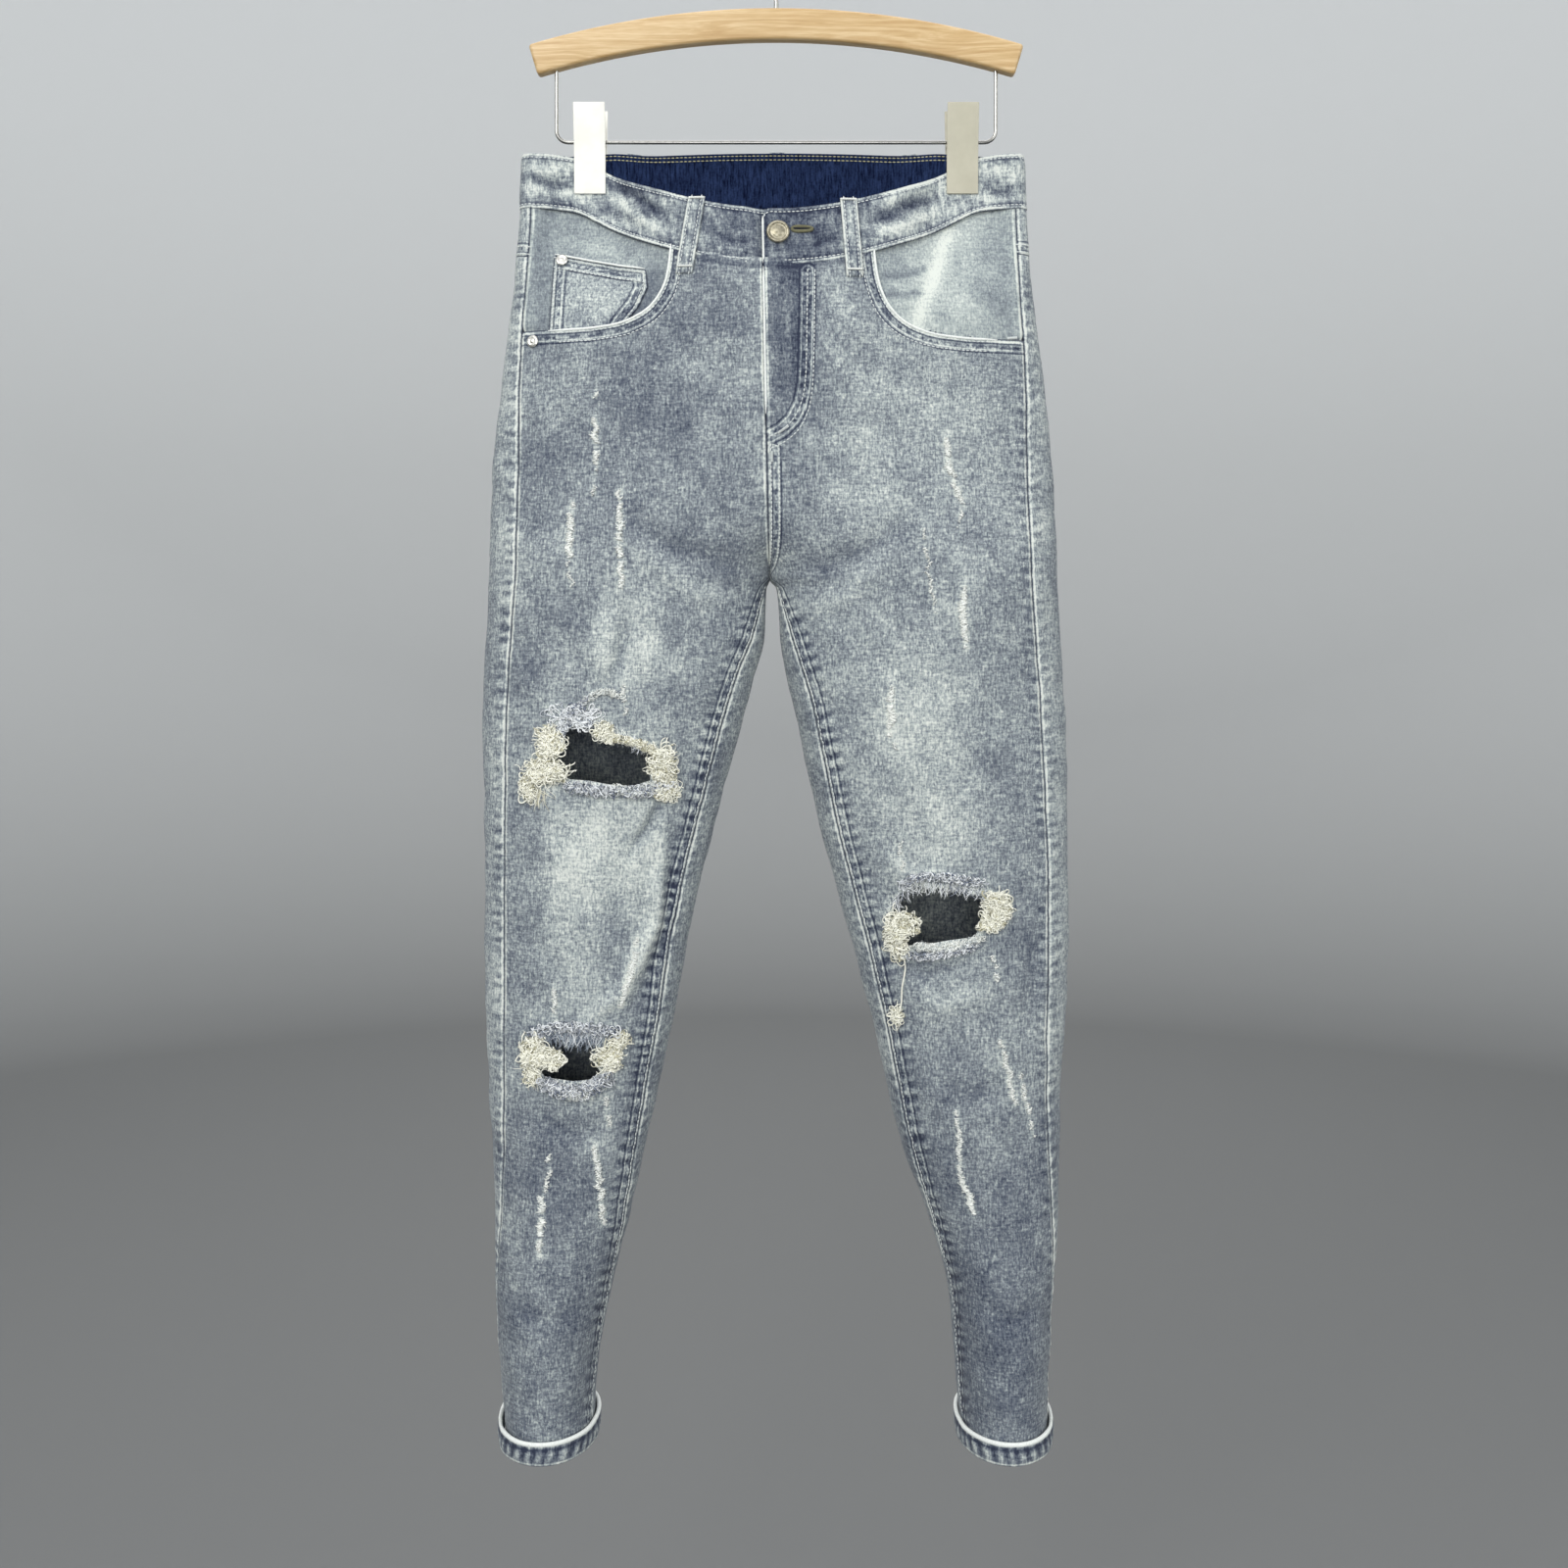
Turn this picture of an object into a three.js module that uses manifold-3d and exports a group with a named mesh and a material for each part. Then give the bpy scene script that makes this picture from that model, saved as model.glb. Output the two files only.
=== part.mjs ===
// Ripped skinny jeans clipped to a wooden trouser hanger.
// Millimetres, +Z up, the front of the jeans towards -Y, the wearer's left towards +X.
// The origin is the inside top of the hook, where a rail bears.
//
// Every cloth piece is a wall on one surface, the "skin". A point of the skin is given by
// the leg (side), the panel (front or back), u across the panel and h, the height below
// the top edge of the waistband. Pieces that lie on a panel are moved out or in from it.
import * as THREE from "three";
import { mergeVertices } from "three/addons/utils/BufferGeometryUtils.js";
import Module from "manifold-3d";

const wasm = await Module();
wasm.setup();

// ---- driving dimensions ------------------------------------------------------------------

const WAIST_Z = -180; // top edge of the waistband, below the rail
const CROTCH = 322; // from the top edge down to the crotch point
const FORK = 205; // where the hips begin to part into two legs
const LEG_END = 979; // cut edge of the legs
const CUFF_TOP = 962;
const CUFF_END = 980;
const DENIM = 1.2; // one layer of cloth
const LIGHT_CLOTH = 1.0; // facings and small pocket
const BAND = 3.0; // the doubled waistband
const GAP = 0.3; // between pieces at a seam
const CLIP_X = 142; // the clips, each side of the middle
const CLIP_GRIP = 30; // how far down the band the jaws reach
const PINCHED = 2.2; // half the space between the middles of front and back band in a clip

const RIGHT = -1;
const LEFT = 1;
const SIDES = { right: RIGHT, left: LEFT };

// Outline of the hanging jeans seen from the front: [h, right outer x, left outer x].
const OUTER = [
  [-10, -193, 188], [60, -196, 192], [130, -204, 198], [200, -211, 206], [270, -216, 212],
  [340, -220, 216], [410, -223, 220], [520, -222, 222], [600, -221.5, 222], [680, -219, 219.5],
  [760, -216, 216], [860, -211, 210], [990, -206, 205.5],
];
// The inner outlines of the legs: [h, right inner x, left inner x].
const INNER = [
  [322, -5.3, -4.7], [330, -9.5, 2], [372, -11, 4], [410, -19.5, 10], [522, -50, 37],
  [597, -68, 57], [672, -82, 76], [747, -98, 96], [860, -125, 131], [930, -137, 139],
  [990, -140, 142],
];
// How far the cloth stands out: [h, to the front, to the back].
const DEPTH = [
  [-10, 25, 17], [45, 30, 24], [110, 40, 38], [190, 46, 50], [270, 49, 54], [330, 52, 55],
  [420, 51, 54], [520, 47, 50], [640, 43, 46], [760, 43, 45], [860, 46, 46], [990, 52, 47],
];
// The side seam and inside leg seam lie on the front, this far in from the outline.
const INSET = [
  [-10, 8, 0], [45, 9, 0], [150, 14, 0], [230, 21, 0], [322, 25, 0], [400, 23, 14],
  [520, 20, 13], [640, 18, 11], [740, 13, 7], [820, 6, 3], [900, 1.5, 1], [990, 1.5, 1],
];
const CENTRE_TOP = -11; // the fly edge at the waist
const CENTRE_CROTCH = -5; // the crotch point
const FLATNESS_HIP = 0.78; // below 1 the sections are flatter than an ellipse
const FLATNESS_LEG = 0.92;

const FRONT_DIP = 47; // how far the front of the waistband hangs below its sides
const BACK_RISE = 7; // how far its back stands above them
const SEAM_DIP = 49; // the same for the seam under the band
const BAND_HEIGHT = 42;
const DIP_HALF = 152; // half the width over which the front dips

const YOKE_SIDE = 78; // height of the yoke seam at the side seam
const YOKE_CENTRE = 108; // and at the middle of the back

// The mouths of the front pockets.
const SCOOP = { from: 42, depth: { right: 96, left: 103 }, width: 110, power: 4 };
const FACING_MARGIN = 14; // how far the facing runs on behind the mouth

// Outlines of the rips, [x, h].
const RIPS = {
  thigh: {
    side: RIGHT,
    part: "upper",
    outline: [
      [-178, 474], [-172, 455], [-161, 438], [-148, 424], [-137, 418], [-131, 432],
      [-111, 442], [-91, 447], [-80, 461], [-76, 478], [-82, 484], [-111, 481], [-140, 477],
    ],
  },
  shin: {
    side: RIGHT,
    part: "lower",
    outline: [
      [-183, 684], [-180, 671], [-169, 662], [-140, 660], [-118, 663], [-116, 677],
      [-120, 692], [-140, 697], [-165, 697], [-178, 692],
    ],
  },
  knee: {
    side: LEFT,
    part: "upper",
    outline: [
      [84, 594], [83, 576], [87, 560], [101, 552], [130, 549], [158, 552], [170, 560],
      [172, 573], [163, 585], [144, 591], [119, 594], [99, 600], [89, 604],
    ],
  },
};

// The small pocket on the right facing, [x, h].
const COIN_POCKET = [
  [-168, 78], [-98, 92], [-96, 106], [-103, 122], [-114, 136], [-119, 150], [-171, 150],
];
// Half a back pocket about its middle line, [x, h], and the middle lines.
const BACK_POCKET = [[68, 0], [62, 122], [0, 146]];
const BACK_POCKET_X = { right: -98, left: 92 };
const BACK_POCKET_TOP = 122;

const LOOP = { width: 12.5, thickness: 1.4, clear: 2.1, above: 1, below: 16 };
const LOOP_PLACES = {
  front_right: [RIGHT, "front", -64],
  front_left: [LEFT, "front", 54],
  back_right: [RIGHT, "back", -108],
  back_left: [LEFT, "back", 102],
  back_centre: [LEFT, "back", 1],
};

const BUTTON = { x: 1.5, h: 67, radius: 8.6 };
const RIVETS = {
  rivet_pocket: { x: -182, h: 146, out: DENIM / 2 + GAP },
  rivet_coin_pocket: { x: -162, h: 83, out: 0.3 },
};
const RIVET_RADIUS = 4.6;

const BAR = { half: 189, height: 24, depth: 12, rise: 28, top: -68 }; // wooden arc
const WIRE = { radius: 1.5, x: 168, z: WAIST_Z + 10.5, bend: 9, into: 9 };
const HOOK = { radius: 1.9, inner: 20, neck: -56, into: 9 };
const BOW = 0.4; // how much the band bows between the flat jaws
const CLIP = { width: 24, above: 38, thickness: 1.6, spread: 7, barrel: 3.4 };

const COLOURS = {
  denim: 0x7f8b9a, facing: 0xb4bdbe, inside: 0x1e2944,
  wood: 0xdec696, steel: 0xd9d7c8, button: 0x92907f,
};

// ---- the skin -----------------------------------------------------------------------------

const clamp = (x, low, high) => Math.min(high, Math.max(low, x));
const ease = (x) => {
  const t = clamp(x, 0, 1);
  return t * t * (3 - 2 * t);
};

// A smooth curve through one column of a table whose first column is h.
function curve(rows, column) {
  const at = rows.map((row) => row[0]);
  const value = rows.map((row) => row[column]);
  const last = rows.length - 1;
  const slope = value.map((_, i) => {
    const a = Math.max(0, i - 1);
    const b = Math.min(last, i + 1);
    return (value[b] - value[a]) / (at[b] - at[a]);
  });
  return (h) => {
    let i = 0;
    while (i < last - 1 && h > at[i + 1]) i++;
    const d = at[i + 1] - at[i];
    const t = clamp((h - at[i]) / d, 0, 1);
    const t2 = t * t;
    const t3 = t2 * t;
    return (
      value[i] * (2 * t3 - 3 * t2 + 1) +
      slope[i] * d * (t3 - 2 * t2 + t) +
      value[i + 1] * (3 * t2 - 2 * t3) +
      slope[i + 1] * d * (t3 - t2)
    );
  };
}

const outer = { [RIGHT]: curve(OUTER, 1), [LEFT]: curve(OUTER, 2) };
const inner = { [RIGHT]: curve(INNER, 1), [LEFT]: curve(INNER, 2) };
const depthFront = curve(DEPTH, 1);
const depthBack = curve(DEPTH, 2);
const outseamInset = curve(INSET, 1);
const inseamInset = curve(INSET, 2);
const centreX = (h) => CENTRE_TOP + (CENTRE_CROTCH - CENTRE_TOP) * clamp(h / CROTCH, 0, 1);

// The section of one leg, or of half the hips, at h: its middle, half width and seam angles.
function section(side, h) {
  const xo = outer[side](h);
  const xc = centreX(h);
  if (h <= CROTCH) {
    const parted = ease((h - FORK) / (CROTCH - FORK));
    const middle = xc + ((xo - xc) * parted) / 2;
    const half = xo - middle;
    const end = Math.acos(clamp((xc - middle) / half, -1, 1));
    const start = Math.acos(1 - outseamInset(h) / Math.abs(half));
    return { middle, half, start, frontEnd: end, backEnd: -end };
  }
  const middle = (xo + inner[side](h)) / 2;
  const half = xo - middle;
  const start = Math.acos(1 - outseamInset(h) / Math.abs(half));
  const inseam = Math.acos(-1 + Math.max(0, inseamInset(h)) / Math.abs(half));
  return { middle, half, start, frontEnd: inseam, backEnd: inseam - 2 * Math.PI };
}

// The clips press front and back together; the creases from them fade out downwards.
function pinch(x, y, h) {
  const strength = 1 - ease((h - CLIP_GRIP - 12) / 95);
  if (strength <= 0) return y;
  const beyond = Math.max(0, Math.abs(Math.abs(x) - CLIP_X) - CLIP.width / 2 - 1);
  const near = strength * Math.exp(-((beyond / (22 + 0.2 * Math.max(0, h))) ** 2));
  const held = PINCHED + 0.14 * Math.max(0, h - CLIP_GRIP - 4);
  const size = Math.abs(y);
  return Math.sign(y) * (size + (Math.min(size, held) - size) * near);
}

function ringPoint(s, angle, h) {
  const flatness = FLATNESS_HIP + (FLATNESS_LEG - FLATNESS_HIP) * ease((h - 150) / 250);
  const x = s.middle + s.half * Math.cos(angle);
  const sine = Math.sin(angle);
  const depth = sine > 0 ? -depthFront(h) : depthBack(h);
  return [x, pinch(x, depth * Math.abs(sine) ** flatness, h)];
}

// The line of a panel at h from the side seam to the centre or inside leg seam, with lengths.
const RING_STEPS = 120;
const lines = new Map();
function panelLine(side, panel, h) {
  const key = `${side} ${panel} ${h.toFixed(4)}`;
  if (lines.has(key)) return lines.get(key);
  const s = section(side, h);
  const end = panel === "front" ? s.frontEnd : s.backEnd;
  const points = [];
  const along = [0];
  for (let i = 0; i <= RING_STEPS; i++) {
    points.push(ringPoint(s, s.start + ((end - s.start) * i) / RING_STEPS, h));
    if (i > 0) {
      const [a, b] = [points[i - 1], points[i]];
      along.push(along[i - 1] + Math.hypot(b[0] - a[0], b[1] - a[1]));
    }
  }
  const line = { points, along, length: along[RING_STEPS] };
  lines.set(key, line);
  return line;
}

// u may run a little past either end, on to the neighbouring panel.
function skin(side, panel, u, h) {
  const line = panelLine(side, panel, h);
  if (u < 0 || u > 1) {
    const beyond = (u < 0 ? -u : u - 1) * line.length;
    const overHips = u > 1 && h <= CROTCH;
    const other = overHips ? [-side, panel] : [side, panel === "front" ? "back" : "front"];
    const share = beyond / panelLine(...other, h).length;
    return skin(...other, u < 0 ? share : 1 - share, h);
  }
  const target = u * line.length;
  let i = 0;
  while (i < RING_STEPS - 1 && line.along[i + 1] < target) i++;
  const t = (target - line.along[i]) / (line.along[i + 1] - line.along[i]);
  const [a, b] = [line.points[i], line.points[i + 1]];
  return new THREE.Vector3(
    a[0] + (b[0] - a[0]) * t, a[1] + (b[1] - a[1]) * t, WAIST_Z - h);
}

// The outward normal of the skin.
function outward(side, panel, u, h) {
  const du = 0.004;
  const dh = 1;
  const across = skin(side, panel, u + du, h).sub(skin(side, panel, u - du, h));
  const down = skin(side, panel, u, h + dh).sub(skin(side, panel, u, h - dh));
  const turn = side * (panel === "front" ? 1 : -1);
  return across.cross(down).multiplyScalar(turn).normalize();
}

// A point of the skin moved out by a distance, and never across the middle of the jeans.
function offset(side, panel, u, h, out) {
  const p = skin(side, panel, u, h).addScaledVector(outward(side, panel, u, h), out);
  const xc = centreX(h);
  if (h < CROTCH + 60) p.x = xc + side * Math.max(GAP / 2, side * (p.x - xc));
  return p;
}

// u of the point of a panel that has a given x.
function uAt(side, panel, x, h) {
  let low = 0;
  let high = 1;
  for (let i = 0; i < 30; i++) {
    const u = (low + high) / 2;
    if (side * (skin(side, panel, u, h).x - x) > 0) low = u;
    else high = u;
  }
  return (low + high) / 2;
}

const dipShape = (x) => {
  const p = 1 - (x / DIP_HALF) ** 2;
  return (p + Math.sqrt(p * p + 0.012)) / 2;
};
const bandTop = (panel, x) =>
  panel === "front" ? FRONT_DIP * dipShape(x) : -BACK_RISE * dipShape(x);
const bandSeam = (panel, x) =>
  BAND_HEIGHT + (panel === "front" ? SEAM_DIP * dipShape(x) : -BACK_RISE * dipShape(x));
const yokeSeam = (x) =>
  YOKE_SIDE + (YOKE_CENTRE - YOKE_SIDE) * (1 - Math.min(1, Math.abs(x - CENTRE_TOP) / 190));

// Where a line across the jeans, given as h for each x, crosses column u of a panel.
function crossing(side, panel, u, line) {
  let h = line(0);
  for (let i = 0; i < 12; i++) h = line(skin(side, panel, u, h).x);
  return h;
}

// ---- solids -------------------------------------------------------------------------------

function geometryOf(positions, triangles) {
  const geometry = new THREE.BufferGeometry();
  geometry.setAttribute("position", new THREE.Float32BufferAttribute(positions, 3));
  geometry.setIndex(triangles);
  return geometry;
}

// A closed wall between two grids of points: near is on one face and far on the other.
function wall(near, far, closed = false) {
  const rows = near.length;
  const columns = near[0].length;
  const positions = [...near.flat(), ...far.flat()].flatMap((p) => [p.x, p.y, p.z]);
  const id = (face, r, c) => face * rows * columns + r * columns + (c % columns);
  const triangles = [];
  const quad = (a, b, c, d) => triangles.push(a, b, c, a, c, d);
  const across = closed ? columns : columns - 1;
  for (let r = 0; r < rows - 1; r++)
    for (let c = 0; c < across; c++) {
      quad(id(0, r, c), id(0, r, c + 1), id(0, r + 1, c + 1), id(0, r + 1, c));
      quad(id(1, r, c), id(1, r + 1, c), id(1, r + 1, c + 1), id(1, r, c + 1));
    }
  for (let c = 0; c < across; c++) {
    quad(id(0, 0, c), id(1, 0, c), id(1, 0, c + 1), id(0, 0, c + 1));
    const r = rows - 1;
    quad(id(0, r, c), id(0, r, c + 1), id(1, r, c + 1), id(1, r, c));
  }
  if (!closed)
    for (let r = 0; r < rows - 1; r++) {
      quad(id(0, r, 0), id(0, r + 1, 0), id(1, r + 1, 0), id(1, r, 0));
      const c = columns - 1;
      quad(id(0, r, c), id(1, r, c), id(1, r + 1, c), id(0, r + 1, c));
    }
  return outsideOut(geometryOf(positions, triangles));
}

function signedVolume(geometry) {
  const p = geometry.attributes.position;
  const corner = (i) => new THREE.Vector3().fromBufferAttribute(p, geometry.index.getX(i));
  let sum = 0;
  for (let i = 0; i < geometry.index.count; i += 3)
    sum += corner(i).dot(corner(i + 1).cross(corner(i + 2)));
  return sum / 6;
}

function outsideOut(geometry) {
  if (signedVolume(geometry) < 0) {
    const index = geometry.index.array;
    for (let i = 0; i < index.length; i += 3)
      [index[i + 1], index[i + 2]] = [index[i + 2], index[i + 1]];
  }
  return geometry;
}

function solidOf(geometry) {
  const bare = geometry.clone();
  bare.deleteAttribute("normal");
  bare.deleteAttribute("uv");
  const merged = mergeVertices(bare, 1e-4);
  return new wasm.Manifold(
    new wasm.Mesh({
      numProp: 3,
      vertProperties: new Float32Array(merged.attributes.position.array),
      triVerts: new Uint32Array(merged.index.array),
    }));
}

function fromSolid(solid) {
  const mesh = solid.getMesh();
  return geometryOf(Array.from(mesh.vertProperties), Array.from(mesh.triVerts));
}

// A prism through the front (y below 0) or the back, with an outline given as [x, h].
const PRISM_DEPTH = 160;
function prism(outline, panel) {
  const shape = new THREE.Shape(outline.map(([x, h]) => new THREE.Vector2(x, WAIST_Z - h)));
  const block = new THREE.ExtrudeGeometry(shape, { depth: PRISM_DEPTH, bevelEnabled: false });
  block.rotateX(Math.PI / 2); // the extrusion now runs towards -Y
  block.translate(0, panel === "front" ? 0 : PRISM_DEPTH, 0);
  // The turn sends the outline's up to +Z, as wanted.
  return solidOf(block);
}

const ease0 = (t) => 1 - (1 - t) ** 1.6; // rows crowd together towards the crotch

// Heights of the rows of a column that starts at top: some to the crotch, some below it.
function rowsOf(top, above, below) {
  const heights = [];
  for (let i = 0; i < above; i++) heights.push(top + (CROTCH - top) * ease0(i / above));
  for (let i = 0; i <= below; i++) {
    const t = (i / below) ** 1.25;
    heights.push(CROTCH + (LEG_END - CROTCH) * t);
  }
  return heights;
}

function evenRows(top, bottom, count) {
  return Array.from({ length: count + 1 }, (_, i) => top + ((bottom - top) * i) / count);
}

// The grids of the panels. A piece that lies on a panel takes its points, so that the two
// have the same facets and stay apart.
const COLUMNS = { front: 12, back: 13 };
const ROWS = { front: [10, 15], back: [9, 15] };
const KNEE_ROWS = 8; // rows from the crotch to the knee, where each panel is divided
const panelTop = (side, panel, u) =>
  crossing(side, panel, u, panel === "front" ? (x) => bandSeam("front", x) : yokeSeam) + GAP;
const panelRows = (side, panel, u) => rowsOf(panelTop(side, panel, u), ...ROWS[panel]);

// A wall on a panel between two of its columns and two of its rows. Other heights can be
// given in place of its rows.
function panelWall(side, panel, out0, out1, columns, rows, heights = panelRows) {
  const grid = (out) => {
    const made = [];
    for (let c = columns[0]; c <= columns[1]; c++) {
      const share = c / COLUMNS[panel];
      made.push(
        heights(side, panel, share).slice(rows[0], rows[1] + 1).map((h) => {
          const edge = GAP / 2 / panelLine(side, panel, h).length;
          return offset(side, panel, clamp(share, edge, 1 - edge), h, out);
        }));
    }
    return made;
  };
  return wall(grid(out0), grid(out1));
}

// A panel above or below the knee. The lower part starts a gap below the upper one.
function panelPart(side, panel, part) {
  const knee = ROWS[panel][0] + KNEE_ROWS;
  const rows = part === "upper" ? [0, knee] : [knee, ROWS[panel][0] + ROWS[panel][1]];
  const heights = (...where) =>
    panelRows(...where).map((h, row) => (part === "lower" && row === knee ? h + GAP : h));
  return panelWall(
    side, panel, -DENIM / 2, DENIM / 2, [0, COLUMNS[panel]], rows, heights);
}

// ---- the pieces ---------------------------------------------------------------------------

// A quarter of a squarish oval about the top of the side seam.
function scoopOutline(side, margin) {
  const corner = side * 240;
  const seamX = outer[side](100) - side * 12;
  const width = SCOOP.width + margin;
  const depth = (side === RIGHT ? SCOOP.depth.right : SCOOP.depth.left) + margin;
  const points = [[corner, -30], [corner, SCOOP.from + depth]];
  const steps = 14;
  for (let i = 0; i <= steps; i++) {
    const angle = (Math.PI / 2) * (1 - i / steps);
    const x = width * Math.cos(angle) ** (2 / SCOOP.power);
    const h = depth * Math.sin(angle) ** (2 / SCOOP.power);
    points.push([seamX - side * x, SCOOP.from + h]);
  }
  points.push([seamX - side * width, -30]);
  return points;
}

function frontPanel(side, part) {
  let solid = solidOf(panelPart(side, "front", part));
  if (part === "upper") solid = solid.subtract(prism(scoopOutline(side, 0), "front"));
  for (const rip of Object.values(RIPS))
    if (rip.side === side && rip.part === part)
      solid = solid.subtract(prism(rip.outline, "front"));
  return fromSolid(solid);
}

function yoke(side) {
  const heights = (_, panel, u) =>
    evenRows(
      crossing(side, panel, u, (x) => bandSeam("back", x)) + GAP + 0.2,
      crossing(side, panel, u, yokeSeam), 2);
  return panelWall(
    side, "back", -DENIM / 2, DENIM / 2, [0, COLUMNS.back], [0, 2], heights);
}

const INNER_LAYER = -DENIM / 2 - GAP; // the outer face of what lies just inside a front
function facing(side) {
  const under = INNER_LAYER - LIGHT_CLOTH - GAP;
  const sheet = panelWall(side, "front", under - LIGHT_CLOTH, under, [0, 9], [0, 7]);
  return fromSolid(solidOf(sheet).intersect(prism(scoopOutline(side, FACING_MARGIN), "front")));
}

function coinPocket() {
  const sheet = panelWall(
    RIGHT, "front", INNER_LAYER - LIGHT_CLOTH, INNER_LAYER, [0, 8], [0, 7]);
  return fromSolid(solidOf(sheet).intersect(prism(COIN_POCKET, "front")));
}

function backPocket(side, middle) {
  const out = DENIM / 2 + GAP;
  const sheet = panelWall(side, "back", out, out + DENIM, [0, COLUMNS.back], [0, 12]);
  const half = BACK_POCKET.map(([x, h]) => [middle + x, BACK_POCKET_TOP + h]);
  const other = BACK_POCKET.slice(0, 2).map(([x, h]) => [middle - x, BACK_POCKET_TOP + h]);
  return fromSolid(solidOf(sheet).intersect(prism([...half, ...other.reverse()], "back")));
}

// Columns of the band on one panel, with one at each edge of the clip.
function bandColumns(side, panel) {
  const steps = 11;
  const edges = [1, -1].map((end) =>
    uAt(side, panel, side * (CLIP_X + end * (CLIP.width / 2 + 1)), CLIP_GRIP / 2));
  const even = Array.from({ length: steps + 1 }, (_, i) => i / steps);
  return [...even.filter((u) => edges.every((edge) => Math.abs(edge - u) > 0.03)), ...edges]
    .sort((a, b) => a - b);
}

// One strip from the buttonhole end round the back, whose last stretch lies under the first.
function waistband() {
  const stations = [];
  const add = (side, panel, u, out) => stations.push([side, panel, u, out]);
  const under = -BAND - 0.6;
  for (const u of bandColumns(LEFT, "front").reverse()) add(LEFT, "front", u, 0);
  for (const u of bandColumns(LEFT, "back").slice(1)) add(LEFT, "back", u, 0);
  for (const u of bandColumns(RIGHT, "back").reverse().slice(1)) add(RIGHT, "back", u, 0);
  for (const u of bandColumns(RIGHT, "front").slice(1, -1)) add(RIGHT, "front", u, 0);
  add(RIGHT, "front", 0.975, under * 0.75);
  for (let i = 0; i <= 3; i++) add(LEFT, "front", 0.99 - 0.05 * i, under);
  const grid = (face) =>
    [0, 0.33, 0.67, 1].map((share) =>
      stations.map(([side, panel, u, out]) => {
        const top = crossing(side, panel, u, (x) => bandTop(panel, x));
        const seam = crossing(side, panel, u, (x) => bandSeam(panel, x));
        const h = top + (seam - top) * share;
        const p = skin(side, panel, u, h)
          .addScaledVector(outward(side, panel, u, h), out + (face * BAND) / 2);
        if (out === 0 && u === 1 && panel === "front") p.x = centreX(h) + GAP / 2;
        return p;
      }));
  return wall(grid(-1), grid(1));
}

function beltLoop(side, panel, x) {
  const start = bandTop(panel, x) - LOOP.above;
  const end = bandSeam(panel, x) + LOOP.below;
  const grid = (out) =>
    evenRows(start, end, 6).map((h) =>
      [-0.5, 0, 0.5].map((share) => {
        const wanted = x + share * LOOP.width;
        const half = wanted < centreX(h) ? RIGHT : LEFT;
        const at = panel === "front" || wanted !== x ? half : side;
        const u = uAt(at, panel, wanted, h);
        return skin(at, panel, u, h).addScaledVector(outward(at, panel, u, h), out);
      }));
  const inside = BAND / 2 + LOOP.clear - BAND / 2 + 0.4;
  return wall(grid(inside), grid(inside + LOOP.thickness));
}

function cuff(side) {
  const ring = (h, out) => {
    const made = [];
    for (let i = 0; i < COLUMNS.front; i++)
      made.push(offset(side, "front", i / COLUMNS.front, h, out));
    for (let i = 0; i < COLUMNS.back; i++)
      made.push(offset(side, "back", 1 - i / COLUMNS.back, h, out));
    return made;
  };
  const clear = DENIM / 2 + 0.6;
  const rows = evenRows(CUFF_TOP, CUFF_END, 2);
  return wall(
    rows.map((h) => ring(h, clear)),
    rows.map((h) => ring(h, clear + BAND)),
    true);
}

// A turned piece whose axis points out of the skin at x, h on the front.
function turned(profile, x, h, out, segments) {
  const side = x < centreX(h) ? RIGHT : LEFT;
  const u = uAt(side, "front", x, h);
  const normal = outward(side, "front", u, h);
  const geometry = new THREE.LatheGeometry(
    profile.map(([r, y]) => new THREE.Vector2(r, y)), segments);
  const mesh = new THREE.Mesh(geometry);
  mesh.position.copy(skin(side, "front", u, h).addScaledVector(normal, out));
  mesh.quaternion.setFromUnitVectors(new THREE.Vector3(0, 1, 0), normal);
  return mesh;
}

function button() {
  const r = BUTTON.radius;
  const profile = [
    [0, 0], [4.2, 0], [4.2, 1.6], [r, 1.6], [r, 3.0], [r - 1, 3.8], [r - 2, 3.3], [0, 3.6],
  ];
  return turned(profile, BUTTON.x, BUTTON.h, BAND / 2 + GAP, 28);
}

function rivet({ x, h, out }) {
  const r = RIVET_RADIUS;
  return turned([[0, 0], [r, 0], [r, 0.7], [r - 1.4, 1.5], [0, 1.8]], x, h, out + 0.25, 18);
}

// ---- the hanger ---------------------------------------------------------------------------

const barRadius = (BAR.half ** 2 + BAR.rise ** 2) / (2 * BAR.rise);
const barCentreZ = BAR.top - barRadius;
const underBar = (x) => barCentreZ + Math.sqrt((barRadius - BAR.height) ** 2 - x * x);

function bore(x, low, high, radius) {
  const cylinder = new THREE.CylinderGeometry(radius, radius, high - low, 12);
  cylinder.rotateX(Math.PI / 2);
  cylinder.translate(x, 0, (low + high) / 2);
  return solidOf(cylinder);
}

function bar() {
  const angle = Math.asin(BAR.half / barRadius);
  const shape = new THREE.Shape();
  shape.absarc(0, barCentreZ, barRadius, Math.PI / 2 + angle, Math.PI / 2 - angle, true);
  shape.absarc(
    0, barCentreZ, barRadius - BAR.height, Math.PI / 2 - angle, Math.PI / 2 + angle, false);
  const bevel = 1.4;
  const block = new THREE.ExtrudeGeometry(shape, {
    depth: BAR.depth - 2 * bevel, curveSegments: 22, bevelSegments: 1,
    bevelSize: bevel, bevelThickness: bevel, bevelOffset: -bevel,
  });
  block.rotateX(Math.PI / 2);
  block.translate(0, BAR.depth / 2 - bevel, 0);
  let solid = solidOf(block);
  for (const x of [-WIRE.x, WIRE.x])
    solid = solid.subtract(
      bore(x, underBar(x) - 8, underBar(x) + WIRE.into + 1, WIRE.radius + GAP));
  solid = solid.subtract(bore(0, BAR.top - HOOK.into - 1, BAR.top + 5, HOOK.radius + GAP));
  return fromSolid(solid);
}

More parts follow.
